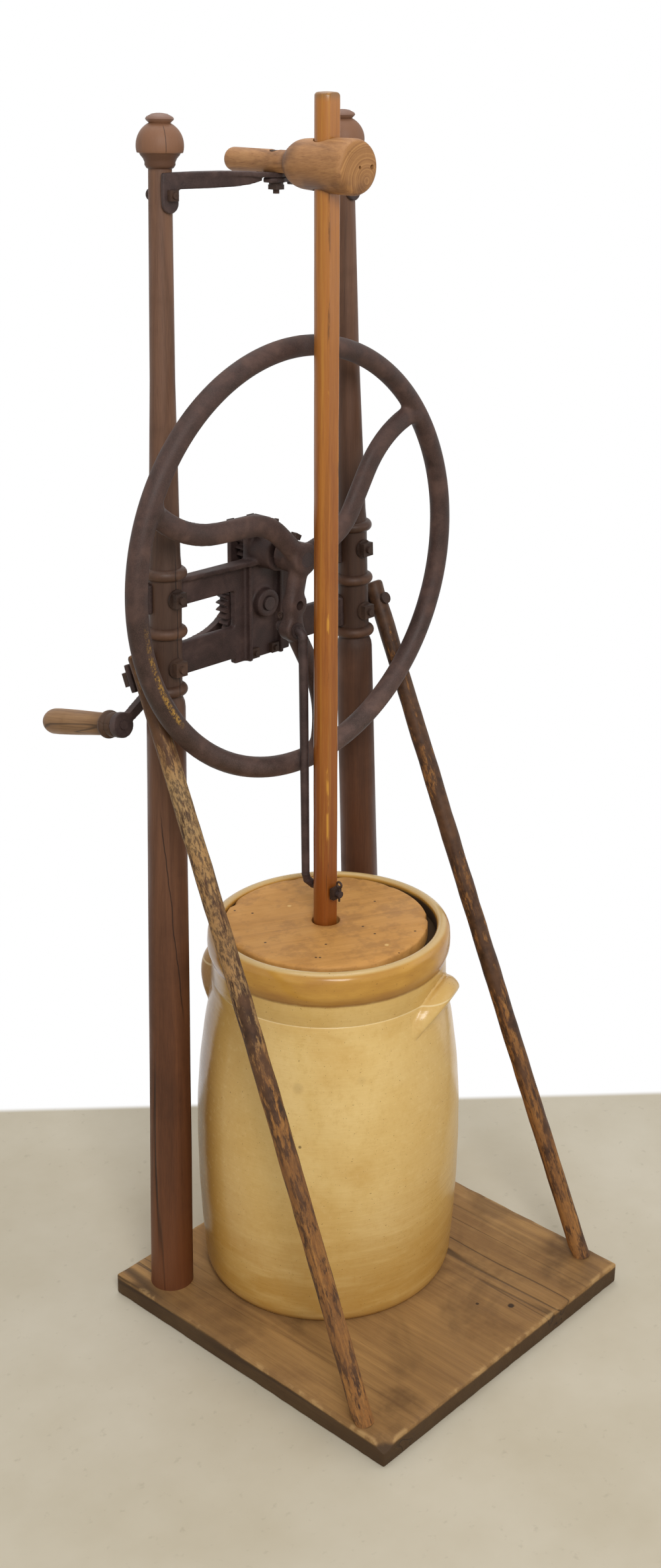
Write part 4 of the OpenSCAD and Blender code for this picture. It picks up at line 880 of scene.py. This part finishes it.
# %% [markdown]
# ## Floor board
# A box with its edges broken by years of feet. The box is cut finely first, so that noise can wear its
# edges, and the front corner has lost a splinter.

# %% Floor board
CHIP_AT, CHIP_R, CHIP_DEPTH = Vector((-BOARD_W / 2 + 0.004, -BOARD_D / 2, BOARD_TOP)), 0.018, 0.008
BOARD_ARRIS, BOARD_CUTS, CUT_INSET, WORN_RIM = 0.0022, 60, 0.003, 0.004

bm = bmesh.new()
block(bm, (BOARD_W, BOARD_D, BOARD_TOP), (0, 0, BOARD_TOP / 2))
bmesh.ops.bevel(bm, geom=list(bm.edges), offset=BOARD_ARRIS, offset_type="OFFSET", segments=2, profile=0.5,
                affect="EDGES", material=-1)
for axis, half in ((Vector((1, 0, 0)), BOARD_W / 2), (Vector((0, 1, 0)), BOARD_D / 2)):
    for i in range(1, BOARD_CUTS):
        at = axis * (-half + CUT_INSET + (2 * half - 2 * CUT_INSET) * i / BOARD_CUTS)
        bmesh.ops.bisect_plane(bm, geom=list(bm.verts) + list(bm.edges) + list(bm.faces), dist=DOUBLE,
                               plane_co=at, plane_no=axis)
for vert in bm.verts:
    co = vert.co
    from_x, from_y = BOARD_W / 2 - abs(co.x), BOARD_D / 2 - abs(co.y)
    if min(from_x, from_y) < WORN_RIM:
        wear = 0.0012 * abs(noise.noise(co * 45)) + 0.0010 * abs(noise.noise(co * 12))
        co.x -= math.copysign(wear, co.x) * (from_x < WORN_RIM)
        co.y -= math.copysign(wear, co.y) * (from_y < WORN_RIM)
        if co.z > BOARD_TOP - WORN_RIM:
            co.z -= 0.0016 * abs(noise.noise(co * 30))
    chip = CHIP_R - (co - CHIP_AT).length
    if chip > 0:
        co.z -= min(chip, CHIP_DEPTH)
piece_from(bm, "floor_board_worn", "frame", "board_wood", ["base_board"])

# %% [markdown]
# ## Dasher
# A long round stick, varnished, with a flat top whose edge is rounded. One flat was planed along its
# front, which is where it was worn and chipped. It stays on the CAD's axis, inside the guide's clearance.

# %% Dasher
DASHER_Y, DASHER_R, DASHER_TOP, DASHER_FOOT, DASHER_FLAT = 0.083, 0.0155, 1.591, 0.062, 0.00265
FLAT_FROM, NICK = 0.16, 0.0006
outline = [(0, DASHER_FOOT), (DASHER_R - 0.001, DASHER_FOOT), (DASHER_R, DASHER_FOOT + 0.001)]
outline += [(DASHER_R, DASHER_FOOT + (DASHER_TOP - 0.012 - DASHER_FOOT) * i / 50) for i in range(1, 51)]
outline += arc_points((DASHER_R - 0.005, DASHER_TOP - 0.0057), 0.005, 0.005, 12, 84, 6)
outline += [(0.005, DASHER_TOP - 0.0002), (0, DASHER_TOP)]
bm = turned(outline, 96)
worn(bm, 0.0004, 0.02, lambda co: co.z < DASHER_TOP - 0.002)
for vert in bm.verts:
    if vert.co.z > FLAT_FROM:
        nick = NICK * max(0, noise.noise(vert.co * 55) - 0.25)
        vert.co.y = max(vert.co.y, -DASHER_R + DASHER_FLAT + nick)
piece_from(bm, "dasher_stick", "dasher", "dasher_wood", ["dasher"],
           place=Matrix.Translation((0, DASHER_Y, 0)), sharp=math.radians(22))

# %% [markdown]
# ## Guide block
# The block is turned with its axis front to back: a fat drum that the dasher slides through, and a tail
# that the two arms hold. Its holes are cut with a Boolean modifier, which is then applied.

# %% Guide block
GUIDE_Z, GUIDE_R, GUIDE_REAR_R, GUIDE_FRONT, GUIDE_L = 1.504, 0.034, 0.0305, 0.029, 0.110
TAIL_R, TAIL_END, GUIDE_BOLT_Y, TAIL_SEAT_Z = 0.015, 0.251, 0.170, 1.4916
SLIDE_R, BOLT_HOLE_R, WASHER_SINK_R = DASHER_R + 0.0016, 0.00415, 0.00815
TAIL_SEAT, GUIDE_ROUNDING = (0.06, 0.052, 0.02), 0.003
CENTRE_HOLES = ((0, 0.0021), (0.021, 0.0030))
tail = TAIL_END - GUIDE_FRONT
outline = [(0, 0)] + near(GUIDE_R, 0, (-0.007, 0), (-0.0025, 0.002), (0, 0.008), (-0.0005, 0.040))
outline += near(GUIDE_REAR_R, GUIDE_L, (0, -0.020), (-0.002, -0.012), (-0.006, -0.005))
outline += near(TAIL_R, GUIDE_L, (0.006, 0), (0.002, 0.001), (0.001, 0.008), (0, 0.014))
outline += near(TAIL_R, tail, (0, -0.006), (-0.0015, -0.002), (-0.005, 0)) + [(0, tail)]
bm = turned(softened(outline, GUIDE_ROUNDING), 72)
guide = piece_from(bm, "guide_block_turned", "frame", "guide_wood", ["guide_block"],
                   place=upright_to((0, 1, 0), (0, GUIDE_FRONT, GUIDE_Z)))
holes = bmesh.new()
for y, low, r in ((DASHER_Y, -0.05, SLIDE_R), (GUIDE_BOLT_Y, -0.05, BOLT_HOLE_R),
                  (GUIDE_BOLT_Y, TAIL_R - 0.005, WASHER_SINK_R)):
    bar(holes, (0, y, GUIDE_Z + low), (0, y, GUIDE_Z + 0.05), r)
block(holes, TAIL_SEAT, (0, GUIDE_BOLT_Y, TAIL_SEAT_Z - TAIL_SEAT[2] / 2))
for x, r in CENTRE_HOLES:
    bar(holes, (x, GUIDE_FRONT - 0.01, GUIDE_Z), (x, GUIDE_FRONT + 0.012, GUIDE_Z), r, 16)
cut_by(guide, holes)

# %% [markdown]
# ## Grip
# A turned beech grip with a bead at its inner end. It droops with its spindle, as in the photograph.

# %% Grip
GEAR_Z = 0.934
GRIP_TILT, CRANK_TURN, CRANK_L = math.radians(12), math.radians(213), 0.240
GRIP_FOOT = Vector((CRANK_L * math.cos(CRANK_TURN), 0.2485, GEAR_Z + CRANK_L * math.sin(CRANK_TURN)))
GRIP_AXIS = Vector((0, math.cos(GRIP_TILT), -math.sin(GRIP_TILT)))
GRIP_FROM, GRIP_L, GRIP_R, GRIP_NECK_R, GRIP_BEAD_R = 0.007, 0.148, 0.017, 0.0143, 0.0183
SPINDLE_R, SPINDLE_L = 0.0046, 0.126
outline = [(0, SPINDLE_L), (SPINDLE_R, SPINDLE_L), (SPINDLE_R, 0)]
outline += near(GRIP_NECK_R, 0, (0, 0), (0.0015, 0.002), (0.0015, 0.009), (0.0008, 0.011))
outline += arc_points((GRIP_BEAD_R - 0.004, 0.017), 0.004, 0.005, -65, 65, 7)
outline += [(GRIP_NECK_R, 0.023), (GRIP_NECK_R + 0.0006, 0.044),
            ((GRIP_NECK_R + GRIP_R) / 2 + 0.0006, 0.082), (GRIP_R, 0.118)]
outline += arc_points((0, GRIP_L - 0.022), GRIP_R, 0.022, 10, 90, 9)
bm = turned(outline, 48)
piece_from(bm, "grip_turned", "grip", "grip_wood", ["grip"],
           place=upright_to(GRIP_AXIS, GRIP_FOOT + GRIP_AXIS * GRIP_FROM))

# %% [markdown]
# ## Flywheel
# The wheel is one casting, so its spokes flow into rim and hub. The parts are drawn as closed bars that
# overlap: a rim spun from a circle, three S-shaped spokes extruded and turned from an oval, each with a
# ball where it meets the rim, a hub and two bosses. A voxel remesh makes one skin of them, and smoothing
# melts the corners into fillets.

# %% Flywheel
SPOKE_LEGS = (0.0527, 0.055, 0.024)
SPOKE_BENDS = ((0.075, 42.5), (0.150, -38.5))
BEND_STEPS = 8
SPOKE_WIDE, SPOKE_DEEP = 0.0142, 0.0105
SPOKE_HEADING, SPOKE_ROOT_R = 136, 0.0146
HUB_R, HUB_REAR, HUB_FRONT = 0.021, -0.0305, 0.0125
CRANK_ANGLE, CRANK_R, SHORT_R, BOSS_R, BOSS_HALF = math.radians(259), 0.092, 0.060, 0.0155, 0.0100
BOSS_WEB_R, WHEEL_SHAFT_R, PIN_HOLE_R = 0.0090, 0.01015, 0.00628
WHEEL_VOXEL, WHEEL_PASSES = 0.0021, 14


def spoke(bm, heading):
    """One spoke in the wheel's own plane: an oval carried straight and round bends. Its end comes back."""
    end = bmesh.ops.create_circle(bm, cap_ends=True, segments=24, radius=1.0)["verts"]
    bmesh.ops.scale(bm, vec=(SPOKE_WIDE, SPOKE_DEEP, 1), verts=end)
    rotated(bm, end, 90, "X")
    rotated(bm, end, heading - 90, "Z")
    at = Vector(ORIGIN)
    way = Vector((math.cos(math.radians(heading)), math.sin(math.radians(heading)), 0))

    def grown():
        faces = [f for f in bm.faces if all(v in end for v in f.verts)]
        out = bmesh.ops.extrude_face_region(bm, geom=faces)["geom"]
        return [v for v in out if isinstance(v, bmesh.types.BMVert)]

    for length, bend in zip(SPOKE_LEGS, (*SPOKE_BENDS, None)):
        end = grown()
        bmesh.ops.translate(bm, vec=way * length, verts=end)
        at = at + way * length
        if bend:
            radius, turn = bend[0], math.radians(bend[1])
            centre = at + Vector((-way.y, way.x, 0)) * math.copysign(radius, turn)
            for _ in range(BEND_STEPS):
                end = grown()
                step = Matrix.Rotation(turn / BEND_STEPS, 3, "Z")
                bmesh.ops.rotate(bm, cent=centre, matrix=step, verts=end)
            at = centre + Matrix.Rotation(turn, 3, "Z") @ (at - centre)
            way = Matrix.Rotation(turn, 3, "Z") @ way
    return at


def on_crank(r):
    """The point at this radius on the line of the wheel's crank, in the wheel's own plane."""
    return r * math.cos(CRANK_ANGLE), r * math.sin(CRANK_ANGLE)


bm = bmesh.new()
ring = bmesh.ops.create_circle(bm, cap_ends=False, segments=32, radius=RIM_TUBE)["verts"]
rotated(bm, ring, 90, "X")
bmesh.ops.translate(bm, vec=(RIM_R, 0, 0), verts=ring)
bmesh.ops.spin(bm, geom=ring + list(bm.edges), cent=ORIGIN, axis=(0, 0, 1), angle=math.tau, steps=160,
               use_merge=True)
for i in range(3):
    root = spoke(bm, SPOKE_HEADING + 120 * i).normalized() * (RIM_R - 0.006)
    bmesh.ops.create_uvsphere(bm, u_segments=24, v_segments=16, radius=SPOKE_ROOT_R,
                              matrix=Matrix.Translation(root))
bar(bm, (0, 0, HUB_REAR), (0, 0, HUB_FRONT), HUB_R, 48)
for r in (SHORT_R, CRANK_R):
    centre = Vector((*on_crank(r), 0))
    bar(bm, centre - Vector((0, 0, BOSS_HALF)), centre + Vector((0, 0, BOSS_HALF)), BOSS_R, 40)
bar(bm, ORIGIN, (*on_crank(CRANK_R), 0), BOSS_WEB_R, 24)

# The wheel's own Z is its front, which is -Y on the machine
wheel_place = Matrix.Translation(WHEEL_CENTRE) @ Matrix.Rotation(math.radians(90), 4, "X")
wheel = piece_from(melted(bm, WHEEL_VOXEL, WHEEL_PASSES), "flywheel_cast", "flywheel", "cast_iron",
                   ["flywheel"], new_material("cast_iron_with_old_line_paint", wheel_iron), wheel_place)
holes = bmesh.new()
for (x, up), back, r in (((0, 0), 0.05, WHEEL_SHAFT_R), (on_crank(SHORT_R), 0.03, PIN_HOLE_R),
                         (on_crank(CRANK_R), 0.03, PIN_HOLE_R)):
    z = WHEEL_CENTRE.z + up
    bar(holes, (x, WHEEL_CENTRE.y - 0.03, z), (x, WHEEL_CENTRE.y + back, z), r)
cut_by(wheel, holes)
print("wheel", len(wheel.data.polygons), "faces")

# %% [markdown]
# ## Gear frame, bridge and crank
# These castings keep the CAD's shape. A copy of each mesh is remeshed into one skin and smoothed, so that
# its edges are as blunt as a casting's, and the shafts' bores are cut again.

# %% Gear frame, bridge and crank
SHAFT_BORES = [((0, 0.14, z), (0, 0.30, z), r) for z, r in ((WHEEL_CENTRE.z, 0.01012), (GEAR_Z, 0.00912))]
recast("gear_frame", "frame", 0.0018, 4, SHAFT_BORES)
recast("bearing_bridge", "frame", 0.0016, 3, SHAFT_BORES)
recast("crank_arm", "crank", 0.0014, 4)

# %% [markdown]
# ## Guide arms
# Each arm is an angle iron. Its web stands on the pad that is bolted to the post and thins out just short
# of the guide's bolt, and its flange grows into a flat tip that lies under the guide's tail, one tip under
# the other. It is lofted through four-cornered sections along the arm and then melted like the castings.

# %% Guide arms
ARM_ROOT = Vector((0.15825, 0.1875, 0))
PAD_FRONT, PAD_BACK, PAD_LOW, PAD_TOP, PAD_HALF = -0.0196, -0.0146, 1.4326, 1.4682, 0.0125
# How far along, its top's height, and how far it reaches behind and before the arm's line
FLANGE = ((-0.002, 1.4962, 0.0030, 0.0025), (0.012, 1.4962, 0.0055, 0.0028), (0.040, 1.4960, 0.0115, 0.0030),
          (0.080, 1.4952, 0.0148, 0.0035), (0.105, 1.4944, 0.0152, 0.0055), (0.125, 1.4932, 0.0145, 0.0090),
          (0.141, 1.4920, 0.0135, 0.0120), (0.159, 1.4915, 0.0130, 0.0130), (0.170, 1.4915, 0.0105, 0.0105),
          (0.177, 1.4915, 0.0060, 0.0060))
FLANGE_DEEP = 0.0062
# How far along, its top's height, and how deep it is
WEB = ((0.0, 1.4955, 0.0195), (0.060, 1.4950, 0.0195), (0.095, 1.4940, 0.0180), (0.118, 1.4928, 0.0150),
       (0.136, 1.4915, 0.0100))
WEB_HALF = 0.0025
DROP_FROM, DROP_OVER = 0.085, 0.05


def loft(bm, sections):
    """A closed solid through four-cornered sections."""
    rows = [[bm.verts.new(corner) for corner in section] for section in sections]
    for before, after in zip(rows, rows[1:]):
        for i in range(4):
            bm.faces.new((before[i], before[(i + 1) % 4], after[(i + 1) % 4], after[i]))
    bm.faces.new(rows[0])
    bm.faces.new(rows[-1])


for side, name, drop in ((-1, "left_arm", 0.0), (1, "right_arm", 0.006)):
    root = mirrored(side, ARM_ROOT)
    along = (Vector((0, GUIDE_BOLT_Y, 0)) - root).normalized()
    rear = Vector((side * along.y, -side * along.x, 0))

    def section(x, top, behind, before, deep):
        low = drop * min(max((x - DROP_FROM) / DROP_OVER, 0), 1)
        return [root + along * x + rear * n + Vector((0, 0, z - low))
                for n, z in ((-before, top), (behind, top), (behind, top - deep), (-before, top - deep))]

    bm = bmesh.new()
    loft(bm, [section(x, top, behind, before, FLANGE_DEEP) for x, top, behind, before in FLANGE])
    loft(bm, [section(x, top, WEB_HALF, WEB_HALF, deep) for x, top, deep in WEB])
    lean = Vector((0, 0, 1)).rotation_difference(mirrored(side, POST_LEAN)).to_matrix().to_4x4()
    on_post = Matrix.Translation(mirrored(side, POST_FOOT)) @ lean
    pad = block(bm, (2 * PAD_HALF, PAD_BACK - PAD_FRONT, PAD_TOP - PAD_LOW),
                (0, (PAD_BACK + PAD_FRONT) / 2, (PAD_TOP + PAD_LOW) / 2))
    bmesh.ops.transform(bm, matrix=on_post, verts=pad)
    bar(bm, on_post @ Vector((0, PAD_FRONT, PAD_LOW)), on_post @ Vector((0, PAD_BACK, PAD_LOW)), PAD_HALF)
    piece_from(melted(bm, 0.0013, 5), name + "_forged", "frame", SLOT_OF_NODE[name], [name])

# %% [markdown]
# ## Crock
# The crock was thrown on a wheel: a lathe outline for its wall, inside and out, with a scored line below
# the neck and faint throwing rings. Its two ears are solid lugs of clay, luted on and smoothed in.

# %% Crock
CROCK_FOOT_R, CROCK_BELLY_R, CROCK_NECK_R, CROCK_RIM_R = 0.166, 0.177, 0.156, 0.161
BELLY_S, SHOULDER_S, BAND_S, LEDGE_S = 0.207, 0.405, CROCK_H - 0.035 - 0.008, CROCK_H - 0.022
CROCK_WALL, CROCK_FLOOR, LEDGE_R, MOUTH_R = 0.012, 0.014, 0.1275, 0.143
THROWING_RING = 0.0003


def crock_r(s):
    """The crock's outer radius at height s above its foot."""
    if s < BELLY_S:
        return CROCK_BELLY_R - (CROCK_BELLY_R - CROCK_FOOT_R) * ((BELLY_S - s) / BELLY_S) ** 2
    rise = min(1, (s - BELLY_S) / (SHOULDER_S - BELLY_S))
    return CROCK_BELLY_R - (CROCK_BELLY_R - CROCK_NECK_R) * rise ** 2


outline = [(0, 0)] + near(CROCK_FOOT_R, 0, (-0.009, 0), (-0.004, 0.002), (-0.0005, 0.008))
for i in range(1, 61):
    s = 0.008 + (SHOULDER_S - 0.008) * i / 60
    outline.append((crock_r(s) - THROWING_RING * math.sin(s * 420) ** 2, s))
outline += near(CROCK_NECK_R, SCORE_S, (0, -0.002), (-0.0012, 0), (0, 0.002))
outline += near(CROCK_NECK_R, BAND_S, (-0.0005, -0.006), (0.0006, 0))
outline += near(CROCK_RIM_R, BAND_S, (-0.0030, 0.004), (-0.0012, 0.009), (-0.0002, 0.015), (0, 0.021))
outline += [(CROCK_RIM_R - 0.0004, CROCK_H - 0.016)]
outline += arc_points((CROCK_RIM_R - 0.0125, CROCK_H - 0.013), 0.0119, 0.013, 10, 90, 8)
outline += arc_points((MOUTH_R + 0.005, CROCK_H - 0.006), 0.005, 0.006, 110, 180, 4)
outline += [(MOUTH_R, LEDGE_S), (LEDGE_R, LEDGE_S), (LEDGE_R, LEDGE_S - 0.010)]
outline += [(CROCK_NECK_R - CROCK_WALL, BAND_S - 0.012)]
outline += [(crock_r(s) - CROCK_WALL, s) for s in (0.400, 0.35, 0.30, 0.25, 0.20, 0.15, 0.10, 0.06, 0.030)]
outline += [(crock_r(0.02) - CROCK_WALL - 0.012, CROCK_FLOOR), (0, CROCK_FLOOR)]
bm = turned(outline, 144)
bmesh.ops.recalc_face_normals(bm, faces=bm.faces)

# %% [markdown]
# A lug is a tilted disc with a round edge. A patch of wall goes into the melt with it, which gives the
# fillet, and what lies deeper than the wall's middle is pressed back into the wall.

# %% The crock's ears
EAR_ANGLE, EAR_R, EAR_OUT, EAR_TILT, EAR_S = -69, 0.066, 0.020, 52, 0.409
EAR_THIN, EAR_WIDE, EAR_WEB = 0.0050, 0.0120, 0.0060
PATCH_LOW, PATCH_STEP, PATCH_ROWS, PATCH_HALF_ANGLE = 0.330, 0.0125, 10, 34
EAR_VOXEL, EAR_PASSES = 0.0017, 13

for turn in (EAR_ANGLE, EAR_ANGLE + 180):
    edge = arc_points((EAR_R, 0), EAR_THIN, EAR_WIDE, -90, 90, 12)
    lug = turned([(0, -EAR_WEB)] + edge + [(0, EAR_WEB)], 120)
    bmesh.ops.transform(lug, verts=lug.verts, matrix=(
        Matrix.Translation((CROCK_NECK_R, 0, EAR_S)) @ Matrix.Rotation(math.radians(-EAR_TILT), 4, "Y")
        @ Matrix.Translation((EAR_OUT - EAR_R, 0, 0))))
    heights = [PATCH_LOW + PATCH_STEP * i for i in range(PATCH_ROWS)]
    loop = [(crock_r(s) - 0.0006, s) for s in heights] + [(crock_r(s) - 0.008, s) for s in reversed(heights)]
    loop = [lug.verts.new((r, 0, s)) for r, s in loop]
    rotated(lug, loop, -PATCH_HALF_ANGLE, "Z")
    bmesh.ops.spin(lug, geom=[lug.faces.new(loop)], cent=ORIGIN, axis=(0, 0, 1),
                   angle=math.radians(2 * PATCH_HALF_ANGLE), steps=30)
    lug = melted(lug, EAR_VOXEL, EAR_PASSES)
    for vert in lug.verts:
        reach = math.hypot(vert.co.x, vert.co.y)
        middle = crock_r(min(max(vert.co.z, 0), SHOULDER_S)) - CROCK_WALL / 2
        if reach < middle:
            vert.co.x *= middle / reach
            vert.co.y *= middle / reach
    rotated(lug, lug.verts, turn, "Z")
    mesh = bpy.data.meshes.new("lug")
    lug.to_mesh(mesh)
    lug.free()
    bm.from_mesh(mesh)
    bpy.data.meshes.remove(mesh)
crock_place = Matrix.Translation((CROCK_AXIS.x, CROCK_AXIS.y, BOARD_TOP))
piece_from(bm, "crock_thrown", "frame", "stoneware", ["crock"], place=crock_place)

# %% [markdown]
# ## Lid
# A round pine lid that lies on the crock's ledge. Its edge is chipped and a little uneven, and it sits
# off centre, which leaves the dark gap at the right and rear.

# %% Lid
LID_AT = Vector((0.0008, 0.0826, BOARD_TOP + LEDGE_S))
LID_R, LID_T, LID_HOLE_R = 0.1355, 0.020, 0.0185
LID_RINGS = [0.02 + 0.0135 * i for i in range(1, 9)]
outline = [(LID_HOLE_R, 0.001), (LID_HOLE_R + 0.001, 0)] + [(r, 0) for r in LID_RINGS]
outline += near(LID_R, 0, (-0.001, 0), (0, 0.001))
outline += near(LID_R, LID_T, (0, -0.003), (-0.001, -0.001), (-0.003, 0))
outline += [(r, LID_T) for r in reversed(LID_RINGS)]
outline += near(LID_HOLE_R, LID_T, (0.002, 0), (0.0005, -0.001), (0, -0.003)) + [(LID_HOLE_R, 0.001)]
bm = turned(outline, 120)
for vert in bm.verts:
    reach = math.hypot(vert.co.x, vert.co.y)
    if reach > LID_R - 0.004 and vert.co.z > LID_T / 2:
        chip = max(0, noise.noise(vert.co * 60) - 0.15) * 0.007
        vert.co.z -= chip
        vert.co.x *= 1 - chip / reach * 0.8
        vert.co.y *= 1 - chip / reach * 0.8
piece_from(bm, "lid_scrubbed", "lid", "lid_wood", ["lid"], place=Matrix.Translation(LID_AT))

# %% [markdown]
# ## Floor and light
# A plain pale floor that ends in white along the line where the photograph's wall stands, a white world
# that the camera and shiny surfaces see, and soft lamps: a large one from the front left, a weaker one from
# the right, and a top light. They are weak enough that a colour renders about as it is written.

# %% Floor
FLOOR_R, WALL_WAY, WALL_OFF = 6.0, (0.7027, 0.7115, 0.0), 0.4628
WHITE = "#FFFFFF"


def pale_floor(place):
    colour = ramp(noise_of(place, 3.0, 5.0, 0.6), (0.3, "#C0B59D"), (0.7, "#D0C7B3"))
    colour = coated(colour, (between(noise_of(place, 70.0, 3.0), 0.62, 0.75, 0.25), "#9A8F78"))
    shader = add("BsdfPrincipled", {"Base Color": colour, "Roughness": 0.6, "Specular IOR Level": 0.3})
    rays = add("LightPath").outputs
    past_wall = between(toward(place, ORIGIN, WALL_WAY), WALL_OFF - 0.004, WALL_OFF + 0.012)
    far = between(vectors("LENGTH", place), 3.5, 5.8)
    fade = times(most(rays["Is Camera Ray"], rays["Is Glossy Ray"]), most(past_wall, far))
    white = add("Emission", {"Color": WHITE, "Strength": 1.0})
    shown = add("MixShader", {0: fade, 1: shader.outputs[0], 2: white.outputs[0]})
    add("OutputMaterial", {"Surface": shown.outputs[0]})


bm = bmesh.new()
bmesh.ops.create_circle(bm, cap_ends=True, segments=96, radius=FLOOR_R)
floor = object_from(bm, "floor")
floor.data.materials.append(new_material("floor_pale_concrete", pale_floor))

# %% World and lamps
world = bpy.data.worlds.new("studio")
bpy.context.scene.world = world
start_net(world)
rays = add("LightPath").outputs
seen = most(rays["Is Camera Ray"], most(rays["Is Glossy Ray"], rays["Is Transmission Ray"]))
ambient = add("Background", {"Color": "#F2F3F5", "Strength": 0.55}).outputs[0]
backdrop = add("Background", {"Color": WHITE, "Strength": 1.0}).outputs[0]
add("OutputWorld", {"Surface": add("MixShader", {0: seen, 1: ambient, 2: backdrop}).outputs[0]})

LAMPS = {  # place, size and power
    "key": ((-1.9, -2.4, 2.9), 1.4, 74.0),
    "fill": ((2.4, -2.0, 1.7), 2.0, 10.0),
    "top": ((0.3, 0.6, 3.4), 1.8, 22.0),
}
AIM = Vector((0, 0, 0.75))
for name, (at, size, power) in LAMPS.items():
    lamp = bpy.data.lights.new(name, "AREA")
    lamp.shape, lamp.size, lamp.energy = "DISK", size, power
    aimed = (AIM - Vector(at)).to_track_quat("-Z", "Y").to_matrix().to_4x4()
    put_in_scene(name, lamp).matrix_world = Matrix.Translation(at) @ aimed

bpy.context.scene.view_settings.view_transform = "Standard"
